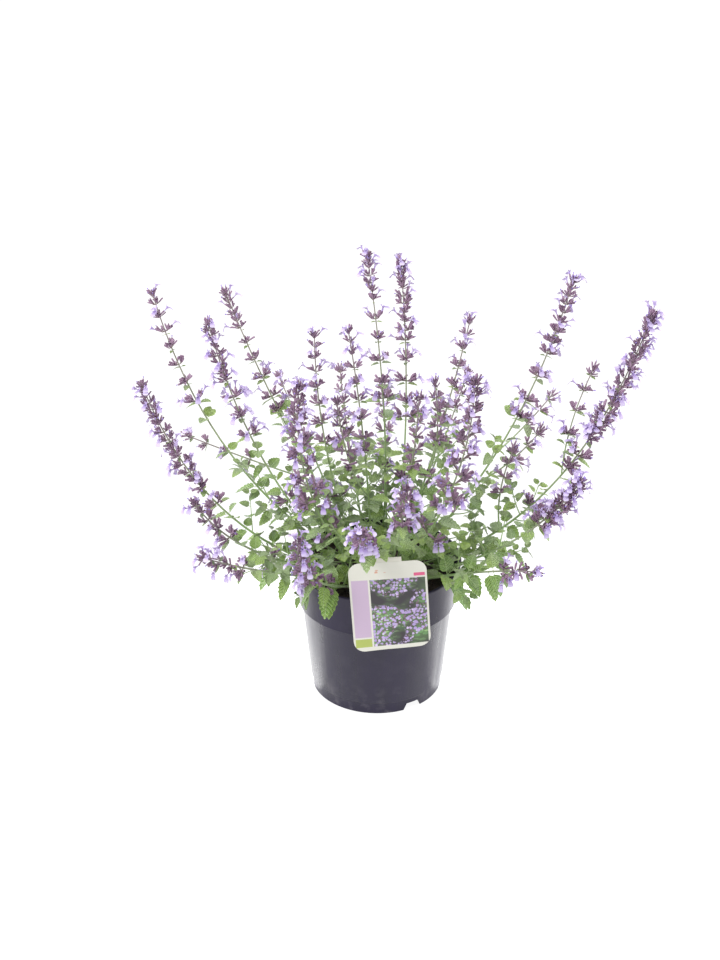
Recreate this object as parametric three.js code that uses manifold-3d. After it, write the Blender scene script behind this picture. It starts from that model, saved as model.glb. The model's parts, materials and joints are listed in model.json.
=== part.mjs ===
// A garden catmint in full flower, standing in its three-litre nursery pot with a folded hang label.
// Millimetres, +Z up. The origin is the middle of the flat under the pot's floor.
import * as THREE from "three";
import { mergeVertices } from "three/addons/utils/BufferGeometryUtils.js";
import Module from "manifold-3d";

const wasm = await Module();
wasm.setup();

// ---- Driving dimensions ----

const CLEARANCE = 0.3; // between pieces that touch on the real object

const POT = {
  height: 161,
  rimRadius: 95,
  collarRadius: 90, // outside, at the collar's lower edge
  collarHeight: 112, // where the flared collar begins
  shoulderRadius: 86, // outside, just under the collar
  heelRadius: 76.5, // outside, just above the foot ring
  footRadius: 74.5,
  footHeight: 14,
  wall: 2,
  floor: 2.5,
  padRadius: 52, // the flat middle of the floor, which stands on the ground
  ledgeHeight: 10, // the raised ring of floor round the pad
  sides: 28,
};

const NOTCH = {
  count: 3,
  firstBearing: -57.5, // degrees from +X, anticlockwise from above
  bottom: 24,
  top: 15,
  height: 8.5,
  inside: 8, // how far in from the foot's outside the notch ends and the drain hole begins
  hole: 13,
};

const SOIL = { top: 145, rise: 3, holeDepth: 11, holeClearance: 0.4 };

const LABEL = {
  width: 88,
  height: 110,
  thickness: 0.8,
  corner: 16,
  top: 211, // height of the fold above the ground
  right: 10, // how far right of the middle it hangs
  turn: 4, // degrees anticlockwise, seen from the front
  foldGap: 4, // from the card's back to the tongue's back, at the fold
  footGap: 15, // and at the tongue's foot
  tongueWidth: 32,
  tongueDepth: 10, // how deep its tongue stands in the soil
};

const STEM = {
  foot: 1.7, // half its width across the corners, where it leaves the soil
  neck: 1.1, // and under its flowers
  branch: 1,
  rachis: 0.9, // and among its flowers
  joint: 1.3, // half the height of a leaf stalk's root
  step: 45, // the longest straight piece of a bent stem
};
const CALYX = {
  lowest: 0.3, // tilts in radians above square to the stem
  spread: 0.5,
  root: 2.4, // how far out the calyces part
  step: 1.5, // between the low and the high calyces of a whorl, halved
  far: 9, // whorls further apart than this have plain stem between them
};
const FLOWER = {
  share: 0.13, // of the calyces that hold one
  middle: 5, // from the calyx mouth to the middle of the flower
  // corners below, right, above and left: out from the calyx, down, to the right and up
  throat: [[0, 0, 0, -1.1], [0, 0, 1.1, 0], [0, 0, 0, 1.1], [0, 0, -1.1, 0]],
  lips: [[6.5, 1.5, 0, -3.6], [6.5, 0.8, 3.4, -0.4], [5, 0, 0, 2.8], [6.5, 0.8, -3.4, -0.4]],
};
const LEAF = {
  thickness: 1.2,
  width: 0.3, // half its width, as a share of its length with the stalk
  stalk: 1.2, // its length with the stalk, against the blade's
  fold: 0.22,
  droop: 0.3,
  lowest: 0.17, // where a shoot's first and last pairs stand, as shares of its green part
  highest: 0.94,
  swings: [0, 0.4, -0.4, 0.8, -0.8, 0, 0.5, -0.5], // the turns tried for a leaf that is in the way
  small: 26, // up to this length a leaf has the plainer outline
  outline: [[0.2, 0.1], [0.27, 0.9], [0.42, 0.8], [0.58, 0.92], [0.78, 0.5]], // along, half width
  smallOutline: [[0.22, 0.12], [0.42, 1], [0.7, 0.62]],
};
const BEAD = { cell: 24, step: 5, stem: 2.2, leaf: 2.4, flower: 4 }; // radii, their spacing and their grid

// Each shoot: where it leaves the soil (or its parent stem), the knee that it bends round, and its tip.
// bloom is the share of its length where flowers begin, the number of whorls and their reach.
// leaves is the number of pairs below the flowers and the length of the longest leaf.
const SHOOTS = [
  {
    name: "left_far", root: [-32, 14], knee: [-192, 36, 247], tip: [-245, 60, 459],
    bloom: [0.66, 8, 11], leaves: [3, 24],
  },
  {
    name: "left_back", root: [-18, 26], knee: [-106, 62, 285], tip: [-170, 110, 440],
    bloom: [0.6, 8, 11], leaves: [3, 26],
  },
  {
    name: "left_inner", root: [-34, 0], knee: [-142, 2, 265], tip: [-181, 10, 444],
    bloom: [0.58, 8, 11], leaves: [3, 26],
  },
  {
    name: "left_low", root: [-44, -6], knee: [-195, -14, 195], tip: [-252, -20, 386],
    bloom: [0.5, 9, 12], leaves: [2, 24],
  },
  {
    name: "left_front", root: [-38, -18], knee: [-160, -45, 185], tip: [-196, -70, 268],
    bloom: [0.62, 5, 12], leaves: [3, 28],
  },
  {
    name: "left_corner", root: [-32, -30], knee: [-140, -92, 195], tip: [-184, -130, 236],
    bloom: [0.6, 5, 11], leaves: [3, 24],
  },
  {
    name: "front_left", root: [-20, -42], knee: [-89, -132, 195], tip: [-82, -185, 285],
    bloom: [0.5, 7, 12], leaves: [3, 32],
  },
  {
    name: "thick_left", root: [-20, -20], knee: [-97, -58, 275], tip: [-81, -110, 424],
    bloom: [0.42, 12, 15], leaves: [3, 32],
  },
  {
    name: "middle_left", root: [-22, 10], knee: [-68, 22, 290], tip: [-69, 40, 416],
    bloom: [0.5, 8, 11], leaves: [3, 28],
  },
  {
    name: "middle", root: [-6, 8], knee: [-10, 12, 292], tip: [-32, 20, 430],
    bloom: [0.52, 8, 10], leaves: [3, 28],
  },
  {
    name: "tall_back", root: [4, 26], knee: [20, 52, 288], tip: [-12, 120, 480],
    bloom: [0.6, 8, 10], leaves: [3, 28],
  },
  {
    name: "tall_right", root: [16, 12], knee: [42, 34, 297], tip: [25, 90, 482],
    bloom: [0.55, 9, 11], leaves: [3, 28],
  },
  {
    name: "right_inner", root: [24, 24], knee: [72, 46, 289], tip: [102, 80, 417],
    bloom: [0.6, 6, 10], leaves: [3, 26],
  },
  {
    name: "thick_right", root: [22, -22], knee: [99, -60, 280], tip: [96, -120, 433],
    bloom: [0.42, 12, 15], leaves: [3, 32],
  },
  {
    name: "right_back", root: [36, 16], knee: [161, 34, 276], tip: [215, 90, 462],
    bloom: [0.6, 7, 12], leaves: [3, 28],
  },
  {
    name: "right_far", root: [42, 2], knee: [215, -5, 200], tip: [288, -10, 462],
    bloom: [0.6, 10, 13], leaves: [4, 26],
  },
  {
    name: "right_front", root: [38, -16], knee: [160, -50, 190], tip: [213, -80, 299],
    bloom: [0.66, 6, 13], leaves: [3, 30],
  },
  {
    name: "right_corner", root: [30, -34], knee: [118, -80, 195], tip: [164, -150, 230],
    bloom: [0.66, 4, 11], leaves: [4, 32],
  },
  {
    name: "front", root: [-6, -40], knee: [-14, -112, 255], tip: [-20, -200, 300],
    bloom: [0.6, 5, 12], leaves: [2, 26],
  },
  {
    name: "front_right", root: [10, -38], knee: [28, -92, 262], tip: [28, -158, 332],
    bloom: [0.55, 6, 12], leaves: [3, 26],
  },
  {
    name: "back_left", root: [-12, 40], knee: [-34, 112, 250], tip: [-43, 186, 310],
    bloom: [0.55, 6, 10], leaves: [3, 28],
  },
  {
    name: "back_low", root: [10, 44], knee: [14, 132, 225], tip: [7, 215, 275],
    bloom: [0.55, 6, 10], leaves: [3, 28],
  },
  {
    name: "back_corner", root: [-26, 36], knee: [-76, 124, 235], tip: [-116, 190, 300],
    bloom: [0.55, 6, 10], leaves: [3, 28],
  },
  {
    name: "back_right", root: [26, 38], knee: [76, 120, 235], tip: [108, 190, 305],
    bloom: [0.55, 6, 10], leaves: [3, 28],
  },
  {
    name: "left_side", on: "left_back", at: 0.3, knee: [-140, 74, 244], tip: [-219, 96, 268],
    bloom: [0.45, 4, 9], leaves: [1, 15],
  },
  {
    name: "centre_left", on: "middle", at: 0.3, knee: [-34, -20, 275], tip: [-44, -52, 380],
    bloom: [0.45, 6, 11], leaves: [1, 18],
  },
  {
    name: "centre_right", on: "tall_right", at: 0.22, knee: [40, -16, 275], tip: [42, -66, 392],
    bloom: [0.45, 6, 11], leaves: [1, 18],
  },
  {
    name: "inner_side", on: "right_inner", at: 0.35, knee: [72, 12, 290], tip: [62, 16, 370],
    bloom: [0.45, 5, 10], leaves: [1, 16],
  },
  {
    name: "far_side", on: "right_far", at: 0.55, knee: [208, 24, 318], tip: [235, 34, 378],
    bloom: [0.3, 4, 10], leaves: [1, 14],
  },
  {
    name: "back_side", on: "right_back", at: 0.45, knee: [164, 96, 270], tip: [204, 138, 300],
    bloom: [0.5, 3, 9], leaves: [1, 15],
  },
  {
    name: "low_side", on: "right_back", at: 0.33, knee: [150, 56, 246], tip: [184, 62, 290],
    bloom: [0.5, 3, 9], leaves: [1, 16],
  },
  {
    name: "rise_side", on: "right_far", at: 0.3, knee: [130, 8, 240], tip: [150, 12, 292],
    bloom: [0.4, 4, 10], leaves: [1, 15],
  },
];

// ---- Colours ----

const PLASTIC = { color: 0x454250, roughness: 0.5, metalness: 0 };
const PEAT = { color: 0x2c211b, roughness: 1, metalness: 0 };
const CARD = { color: 0xe9e4da, roughness: 0.35, metalness: 0 };
const GREEN = { color: 0x6f8f4a, roughness: 0.8, metalness: 0 };
const PURPLE = { color: 0x74547f, roughness: 0.75, metalness: 0 };

// ---- Solids ----

/** The closed solid that a geometry encloses. */
function solidOf(geometry) {
  geometry.deleteAttribute("normal");
  geometry.deleteAttribute("uv");
  const merged = mergeVertices(geometry, 1e-4);
  const corners = merged.index.array;
  const kept = [];
  for (let i = 0; i < corners.length; i += 3) {
    const [a, b, c] = [corners[i], corners[i + 1], corners[i + 2]];
    if (a !== b && b !== c && c !== a) kept.push(a, b, c);
  }
  const vertProperties = new Float32Array(merged.getAttribute("position").array);
  return new wasm.Manifold(new wasm.Mesh({ numProp: 3, vertProperties, triVerts: new Uint32Array(kept) }));
}

/** A named mesh of a solid, in its piece's colour. */
function meshOf(name, solid, finish) {
  const { vertProperties, triVerts } = solid.getMesh();
  const geometry = new THREE.BufferGeometry();
  geometry.setAttribute("position", new THREE.BufferAttribute(vertProperties, 3));
  geometry.setIndex(new THREE.BufferAttribute(triVerts, 1));
  geometry.computeVertexNormals();
  const mesh = new THREE.Mesh(geometry, new THREE.MeshStandardMaterial(finish));
  mesh.name = name;
  return mesh;
}

/** A closed skin made corner by corner, whose faces turn anticlockwise seen from outside. */
class Skin {
  constructor() {
    this.places = [];
    this.faces = [];
  }

  corner(point) {
    this.places.push(...point.toArray());
    return this.places.length / 3 - 1;
  }

  ring(points) {
    return points.map((point) => this.corner(point));
  }

  /** Joins two rings of as many corners, but leaves some sides open. Diagonals start at even or odd corners. */
  join(low, high, { slant = 0, open = [] } = {}) {
    low.forEach((a, i) => {
      if (open.includes(i)) return;
      const next = (i + 1) % low.length;
      const [b, c, d] = [low[next], high[i], high[next]];
      if (i % 2 === slant) this.faces.push(a, b, d, a, d, c);
      else this.faces.push(a, b, c, b, d, c);
    });
    return high;
  }

  point(ring, tip) {
    const top = this.corner(tip);
    ring.forEach((a, i) => this.faces.push(a, ring[(i + 1) % ring.length], top));
  }

  close(ring) {
    for (let i = 1; i + 1 < ring.length; i += 1) this.faces.push(ring[0], ring[i], ring[i + 1]);
  }

  solid() {
    const geometry = new THREE.BufferGeometry();
    geometry.setAttribute("position", new THREE.Float32BufferAttribute(this.places, 3));
    geometry.setIndex(this.faces);
    return solidOf(geometry);
  }
}

const add = (start, ...steps) => {
  const sum = start.clone();
  for (const [direction, length] of steps) sum.addScaledVector(direction, length);
  return sum;
};

// ---- The pot ----

function potProfile() {
  const { wall, floor } = POT;
  return [
    [0, 0],
    [POT.padRadius, 0],
    [POT.padRadius + 3, POT.ledgeHeight],
    [POT.footRadius - wall, POT.ledgeHeight],
    [POT.footRadius - wall, 0],
    [POT.footRadius, 0],
    [POT.footRadius + 0.5, POT.footHeight],
    [POT.heelRadius, POT.footHeight + 1],
    [POT.shoulderRadius, POT.collarHeight],
    [POT.collarRadius, POT.collarHeight + 0.5],
    [POT.rimRadius, POT.height - 1],
    [POT.rimRadius - 1, POT.height],
    [POT.rimRadius - wall - 0.4, POT.height],
    [POT.collarRadius - wall, POT.collarHeight + 3],
    [POT.shoulderRadius - wall, POT.collarHeight],
    [POT.heelRadius - wall - 0.5, POT.ledgeHeight + floor],
    [POT.padRadius + 1, POT.ledgeHeight + floor],
    [POT.padRadius - 2, floor],
    [0, floor],
  ];
}

/** One drain opening: a notch through the foot ring, with a hole in the floor behind it. */
function drainCutter(bearing) {
  const notch = new THREE.Shape();
  notch.moveTo(-NOTCH.bottom / 2, -1);
  notch.lineTo(NOTCH.bottom / 2, -1);
  notch.lineTo(NOTCH.top / 2, NOTCH.height);
  notch.lineTo(-NOTCH.top / 2, NOTCH.height);
  const through = new THREE.ExtrudeGeometry(notch, { depth: 1.5 * NOTCH.inside, bevelEnabled: false });
  through.rotateX(Math.PI / 2);
  through.translate(0, NOTCH.inside - POT.footRadius, 0);
  const hole = new THREE.BoxGeometry(NOTCH.hole, NOTCH.inside, POT.ledgeHeight + 2 * POT.floor);
  hole.translate(0, 1.5 * NOTCH.inside - POT.footRadius, POT.ledgeHeight);
  const turn = THREE.MathUtils.degToRad(bearing + 90);
  return [through, hole].map((shape) => solidOf(shape.rotateZ(turn)));
}

function pot() {
  const profile = potProfile().map(([radius, height]) => new THREE.Vector2(radius, height));
  const shell = new THREE.LatheGeometry(profile, POT.sides);
  let solid = solidOf(shell.rotateX(Math.PI / 2));
  for (let i = 0; i < NOTCH.count; i += 1) {
    for (const cutter of drainCutter(NOTCH.firstBearing + (360 / NOTCH.count) * i)) {
      solid = solid.subtract(cutter);
    }
  }
  return solid;
}

// ---- The hang label ----

/** The card's outline, with its straight top edge at height 0 and big round corners. */
function cardOutline() {
  const [half, low, round] = [LABEL.width / 2, -LABEL.height, LABEL.corner];
  const card = new THREE.Shape();
  card.moveTo(-half + round, low);
  card.lineTo(half - round, low);
  card.quadraticCurveTo(half, low, half, low + round);
  card.lineTo(half, -round);
  card.quadraticCurveTo(half, 0, half - round, 0);
  card.lineTo(-half + round, 0);
  card.quadraticCurveTo(-half, 0, -half, -round);
  card.lineTo(-half, low + round);
  card.quadraticCurveTo(-half, low, -half + round, low);
  return card;
}

/** The folded tongue from the side: up out of the card, over the fold, and slanting down to its foot. */
function tongueOutline() {
  const { thickness, foldGap, footGap } = LABEL;
  const foot = SOIL.top - LABEL.tongueDepth - LABEL.top;
  const hump = 1 + 1.6 * foldGap;
  const side = new THREE.Shape();
  side.moveTo(-thickness + 0.1, -4);
  side.lineTo(-thickness + 0.1, 1);
  side.quadraticCurveTo(foldGap / 2, hump, foldGap, 1);
  side.lineTo(footGap, foot);
  side.lineTo(footGap - thickness, foot);
  side.lineTo(foldGap - thickness, 1);
  side.quadraticCurveTo(foldGap / 2, hump - 2 * thickness, 0.1, 1);
  side.lineTo(0.1, -4);
  return side;
}

/** Turns a shape made at the label's own fold into its place in front of the rim. */
function hangLabel(geometry) {
  geometry.rotateY(-THREE.MathUtils.degToRad(LABEL.turn));
  return solidOf(geometry.translate(LABEL.right, -POT.rimRadius - CLEARANCE, LABEL.top));
}

function label() {
  const card = new THREE.ExtrudeGeometry(cardOutline(), {
    depth: LABEL.thickness,
    bevelEnabled: false,
    curveSegments: 4,
  });
  card.rotateX(Math.PI / 2);
  const tongue = new THREE.ExtrudeGeometry(tongueOutline(), {
    depth: LABEL.tongueWidth,
    bevelEnabled: false,
    curveSegments: 3,
  });
  tongue.translate(0, 0, -LABEL.tongueWidth / 2).rotateX(Math.PI / 2).rotateZ(Math.PI / 2);
  return hangLabel(card).add(hangLabel(tongue));
}

/** The slit that the tongue stands in. */
function labelSlit() {
  const { thickness, foldGap, footGap, tongueWidth } = LABEL;
  const drop = LABEL.top + 1 - SOIL.top + LABEL.tongueDepth;
  const slant = Math.atan2(footGap - foldGap, drop);
  const slit = new THREE.BoxGeometry(tongueWidth + 1, thickness + 1.2, drop + 1);
  slit.translate(0, 0, -drop / 2 - 0.5).rotateX(slant);
  slit.translate(0, foldGap - thickness / 2, 1);
  return hangLabel(slit);
}

// ---- The soil ----

/** The soil's level at a distance from the pot's axis: a low mound. */
const soilLevel = (radius) => SOIL.top + SOIL.rise * (1 - (radius / POT.rimRadius) ** 2);

function soilProfile() {
  const inside = POT.wall + CLEARANCE;
  const ledge = POT.ledgeHeight + POT.floor + CLEARANCE;
  const brim = POT.collarRadius - inside + 2.4;
  return [
    [0, POT.floor + CLEARANCE],
    [POT.padRadius - 2.5, POT.floor + CLEARANCE],
    [POT.padRadius + 0.5, ledge],
    [POT.heelRadius - inside - 0.6, ledge],
    [POT.shoulderRadius - inside - 0.2, POT.collarHeight + 0.4],
    [POT.collarRadius - inside - 0.2, POT.collarHeight + 3.8],
    [brim, SOIL.top - 3],
    [brim - 5, soilLevel(brim - 5)],
    [0, soilLevel(0)],
  ];
}

function soil(shoots) {
  const profile = soilProfile().map(([radius, height]) => new THREE.Vector2(radius, height));
  let solid = solidOf(new THREE.LatheGeometry(profile, POT.sides).rotateX(Math.PI / 2));
  for (const cutter of [labelSlit(), ...shoots.filter((shoot) => !shoot.parent).map(stemHole)]) {
    solid = solid.subtract(cutter);
  }
  return solid;
}

// ---- How the shoots grow ----

/** An even draw from 0 to 1 that always falls the same for the same shoot, item and purpose. */
function chance(shoot, item, purpose) {
  let mix = Math.imul(shoot + 1, 374761393) ^ Math.imul(item + 1, 668265263);
  mix ^= Math.imul(purpose + 1, 974634777);
  mix = Math.imul(mix ^ (mix >>> 15), 2246822519);
  mix = Math.imul(mix ^ (mix >>> 13), 3266489917);
  return ((mix ^ (mix >>> 16)) >>> 0) / 4294967296;
}

const UP = new THREE.Vector3(0, 0, 1);

/** One shoot's path, with the stem or spike that each part of it belongs to. */
class Shoot {
  constructor(row, index, parent) {
    this.index = index;
    this.parent = parent;
    this.name = row.name;
    [this.bloomFrom, this.whorls, this.reach] = row.bloom;
    [this.leafPairs, this.leafLength] = row.leaves;
    this.root = parent ? parent.point(row.at) : new THREE.Vector3(...row.root, SOIL.top + SOIL.rise + 1);
    this.path = new THREE.QuadraticBezierCurve3(
      this.root,
      new THREE.Vector3(...row.knee),
      new THREE.Vector3(...row.tip),
    );
    const away = this.path.v2.clone().sub(this.root).setZ(0).normalize();
    this.side = new THREE.Vector3(-away.y, away.x, 0);
    this.length = this.path.getLength();
    this.columns = this.reach >= 12 ? 6 : 4;
    this.whorlsAt = Array.from({ length: this.whorls }, (_, k) => this.whorlShare(k));
  }

  /** The shoot rooted in the soil that this one grows from, or itself. */
  get base() {
    return this.parent ? this.parent.base : this;
  }

  /** Whorls stand closer and closer towards the tip. */
  whorlShare(k) {
    const along = (k + 0.35) / this.whorls;
    return this.bloomFrom + (1 - this.bloomFrom) * (1 - (1 - along) ** 1.45);
  }

  point(share) {
    return this.path.getPoint(share);
  }

  /** The shoot's direction at a share of its length, with two directions square to it. */
  frame(share) {
    const along = this.path.getTangent(share);
    const across = new THREE.Vector3().crossVectors(this.side, along).normalize();
    return { along, across, beside: new THREE.Vector3().crossVectors(along, across) };
  }

  /** A point round the shoot, at an angle, a distance out and a distance on. */
  around(share, angle, out, on = 0) {
    const { along, across, beside } = this.frame(share);
    const round = [[across, out * Math.cos(angle)], [beside, out * Math.sin(angle)], [along, on]];
    return add(this.point(share), ...round);
  }
}

/** Beads that stand for the plant's parts, so that a leaf can be kept clear of what others hold. */
class Beads {
  constructor() {
    this.cells = new Map();
  }

  static cell(point) {
    return point.toArray().map((value) => Math.floor(value / BEAD.cell));
  }

  put(point, radius, owner) {
    const key = Beads.cell(point).join();
    if (!this.cells.has(key)) this.cells.set(key, []);
    this.cells.get(key).push({ point, radius, owner });
  }

  /** Whether a bead would touch one of another owner. */
  blocked(point, radius, owner) {
    const [x, y, z] = Beads.cell(point);
    for (let i = 0; i < 27; i += 1) {
      const key = [x + (i % 3) - 1, y + (Math.floor(i / 3) % 3) - 1, z + Math.floor(i / 9) - 1].join();
      for (const bead of this.cells.get(key) ?? []) {
        if (bead.owner !== owner && bead.point.distanceTo(point) < bead.radius + radius) return true;
      }
    }
    return false;
  }
}

/** Whether a bead would touch the pot, the soil or the label. */
function meetsHolder(point, radius) {
  const out = Math.hypot(point.x, point.y);
  if (out < POT.rimRadius && point.z < SOIL.top + SOIL.rise + radius) return true;
  const inWall = out > POT.rimRadius - 6 - radius && out < POT.rimRadius + radius;
  if (inWall && point.z < POT.height + radius) return true;
  const inCard = Math.abs(point.x - LABEL.right) < LABEL.width / 2 + 4 + radius;
  const before = point.y + POT.rimRadius;
  return inCard && point.z < LABEL.top + 8 + radius && before > -3 - radius && before < 12 + radius;
}

// ---- Stems and leaves ----

const stemOwner = (shoot) => shoot.base.index;
const spikeOwner = (shoot) => 100 + shoot.index;

/** Half the stem's width across its corners, at a share of the shoot's length. */
function stemRadius(shoot, share) {
  if (shoot.parent) return STEM.branch;
  return THREE.MathUtils.lerp(STEM.foot, STEM.neck, share / shoot.bloomFrom);
}

/** The four corners of the square stem at a share of the shoot's length. */
function squareAt(shoot, share, radius) {
  return [0.5, 1.5, 2.5, 3.5].map((turn) => shoot.around(share, (Math.PI / 2) * turn, radius));
}

/** The shares of a shoot's length at which its leaf pairs stand. */
function pairShares(shoot) {
  const rise = (LEAF.highest - LEAF.lowest) / Math.max(shoot.leafPairs - 1, 1);
  const lowest = shoot.leafPairs > 1 ? LEAF.lowest : LEAF.highest;
  return Array.from({ length: shoot.leafPairs }, (_, pair) => shoot.bloomFrom * (lowest + rise * pair));
}

/** A green stem with its leaves, which grow in pairs from opposite sides, each pair square to the last. */
function stem(shoot, leaves) {
  const skin = new Skin();
  const squareRing = (share) => skin.ring(squareAt(shoot, share, stemRadius(shoot, share)));
  let ring = squareRing(0);
  if (shoot.parent) {
    skin.close([...ring].reverse());
  } else {
    const buried = SOIL.top - SOIL.holeDepth + CLEARANCE;
    const foot = skin.ring(squareAt(shoot, 0, STEM.foot).map((corner) => corner.setZ(buried)));
    skin.close([...foot].reverse());
    skin.join(foot, ring);
  }
  let done = 0;
  const climb = (share) => {
    const steps = Math.max(1, Math.round(((share - done) * shoot.length) / STEM.step));
    for (let i = 1; i <= steps; i += 1) {
      ring = skin.join(ring, squareRing(done + ((share - done) * i) / steps));
    }
    done = share;
  };
  pairShares(shoot).forEach((share, pair) => {
    climb(share - STEM.joint / shoot.length);
    const held = leaves.filter((leaf) => leaf.pair === pair);
    const high = squareRing(share + STEM.joint / shoot.length);
    skin.join(ring, high, { open: held.map((leaf) => leaf.side) });
    for (const leaf of held) {
      const next = (leaf.side + 1) % 4;
      growLeaf(skin, [ring[leaf.side], ring[next], high[next], high[leaf.side]], leaf);
    }
    ring = high;
    done = share + STEM.joint / shoot.length;
  });
  climb(shoot.bloomFrom - CLEARANCE / shoot.length);
  skin.close(ring);
  return skin.solid();
}

/** The plain hole that a stem stands in. */
function stemHole(shoot) {
  const skin = new Skin();
  const square = squareAt(shoot, 0, STEM.foot + SOIL.holeClearance * Math.SQRT2);
  const low = skin.ring(square.map((corner) => corner.clone().setZ(SOIL.top - SOIL.holeDepth)));
  const high = skin.ring(square.map((corner) => corner.clone().setZ(SOIL.top + SOIL.rise + 2)));
  skin.close([...low].reverse());
  skin.close(skin.join(low, high));
  return skin.solid();
}

function beadStem(shoot, beads) {
  const count = Math.ceil(shoot.length / BEAD.step);
  for (let i = 0; i <= count; i += 1) {
    const share = i / count;
    const owner = share < shoot.bloomFrom ? stemOwner(shoot) : spikeOwner(shoot);
    beads.put(shoot.point(share), BEAD.stem, owner);
  }
}

/** A point of a leaf: along it, out from its rib as a share of its width, and up from its face. */
function leafPoint({ base, out, face, length }, along, beside, up) {
  const edge = new THREE.Vector3().crossVectors(face, out);
  const wide = length * LEAF.width * beside;
  return add(
    base,
    [out, length * along],
    [UP, -LEAF.droop * length * along * along],
    [edge, wide],
    [face, up + LEAF.fold * Math.abs(wide)],
  );
}

/** Where one leaf of a pair would lie on one of several tries, each turned or smaller. */
function leafTry(shoot, pair, hand, attempt) {
  const item = pair * 2 + hand;
  const share = pairShares(shoot)[pair];
  const side = (pair + hand * 2) % 4;
  const swing = LEAF.swings[attempt] + 0.5 * (chance(shoot.index, item, 4) - 0.5);
  const angle = (Math.PI / 2) * (side + 1) + swing;
  const { across, beside, along } = shoot.frame(share);
  const lift = 0.1 + 0.5 * chance(shoot.index, item, 5) + (attempt > 4 ? 0.3 : 0);
  const out = add(
    new THREE.Vector3(),
    [across, Math.cos(angle)],
    [beside, Math.sin(angle)],
    [UP, lift],
    [along, 0.15],
  ).normalize();
  const face = add(UP, [out, -out.z]).normalize();
  const size = 1 - (0.4 * pair) / shoot.leafPairs + 0.2 * (chance(shoot.index, item, 6) - 0.5);
  const length = shoot.leafLength * LEAF.stalk * size * (attempt > 4 ? 0.8 : 1);
  return { base: shoot.point(share), out, face, length, pair, side };
}

function leafBeads(leaf) {
  const spots = [];
  for (const along of [0.3, 0.5, 0.7, 0.92]) {
    for (const beside of along < 0.9 ? [-0.8, 0, 0.8] : [0]) {
      spots.push(leafPoint(leaf, along, beside, 0));
    }
  }
  return spots;
}

/** The leaves of a shoot that find room, each on the first try that is clear. */
function leavesOf(shoot, beads) {
  const leaves = [];
  const owner = stemOwner(shoot);
  for (let item = 0; item < shoot.leafPairs * 2; item += 1) {
    for (let attempt = 0; attempt < LEAF.swings.length; attempt += 1) {
      const leaf = leafTry(shoot, Math.floor(item / 2), item % 2, attempt);
      const spots = leafBeads(leaf);
      if (spots.some((spot) => meetsHolder(spot, 1) || beads.blocked(spot, BEAD.leaf, owner))) continue;
      for (const spot of spots) beads.put(spot, BEAD.leaf, owner);
      leaves.push(leaf);
      break;
    }
  }
  return leaves;
}

/** Grows a leaf out of an open side of a stem: its stalk, and a folded blade with a waved edge. */
function growLeaf(skin, seat, leaf) {
  const stations = leaf.length > LEAF.small ? LEAF.outline : LEAF.smallOutline;
  let ring = seat;
  for (const [along, half] of stations) {
    const thick = LEAF.thickness / 2;
    const corners = [
      leafPoint(leaf, along, -half, 0),
      leafPoint(leaf, along, 0, -thick),
      leafPoint(leaf, along, half, 0),
      leafPoint(leaf, along, 0, thick),
    ];
    ring = skin.join(ring, skin.ring(corners), { slant: 0 });
  }
  skin.point(ring, leafPoint(leaf, 1, 0, 0));
}

// ---- Flower spikes ----

/** Whorls are full at the foot of a spike and small at its tip. */
const whorlSize = (shoot, k) => 1 - 0.5 * (k / shoot.whorls) ** 1.5;

const columnAngle = (shoot, column) => (2 * Math.PI * column) / shoot.columns;

/** Where the mouth of a calyx is, for one whorl and one side of the spike. */
function calyxMouth(shoot, k, column) {
  const item = k * 8 + column;
  const tilt = CALYX.lowest + CALYX.spread * chance(shoot.index, item, 0) + 0.4 * (k / shoot.whorls);
  const reach = shoot.reach * whorlSize(shoot, k) * (0.82 + 0.3 * chance(shoot.index, item, 1));
  const angle = columnAngle(shoot, column);
  return shoot.around(shoot.whorlsAt[k], angle, reach * Math.cos(tilt), reach * Math.sin(tilt));
}

/** The open flower in a calyx, if it has one: its mouth, the way it looks, and its size. */
function flowerOf(shoot, k, column) {
  if (chance(shoot.index, k * 8 + column, 2) > FLOWER.share) return null;
  const mouth = calyxMouth(shoot, k, column);
  const out = mouth.clone().sub(shoot.point(shoot.whorlsAt[k])).normalize();
  const beside = new THREE.Vector3().crossVectors(UP, out).normalize();
  const over = new THREE.Vector3().crossVectors(out, beside);
  return { mouth, out, beside, over, scale: 0.75 + 0.25 * whorlSize(shoot, k) };
}

/** Grows a calyx out of its seat on the spike: pointed, or with an open flower that bends over. */
function growCalyx(skin, seat, shoot, k, column) {
  const flower = flowerOf(shoot, k, column);
  if (!flower) {
    skin.point(seat, calyxMouth(shoot, k, column));
    return;
  }
  const { mouth, out, beside, over, scale } = flower;
  const spread = ([on, down, side, rise]) =>
    add(mouth, [out, on * scale], [UP, -down * scale], [beside, side * scale], [over, rise * scale]);
  const rings = [FLOWER.throat, FLOWER.lips].map((corners) => skin.ring(corners.map(spread)));
  skin.close(skin.join(skin.join(seat, rings[0]), rings[1]));
}

/** A ring of corners round a spike. */
function ringRound(skin, shoot, share, radius, on = 0) {
  const corners = Array.from({ length: shoot.columns }, (_, column) =>
    shoot.around(share, columnAngle(shoot, column), radius, on),
  );
  return skin.ring(corners);
}

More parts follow.
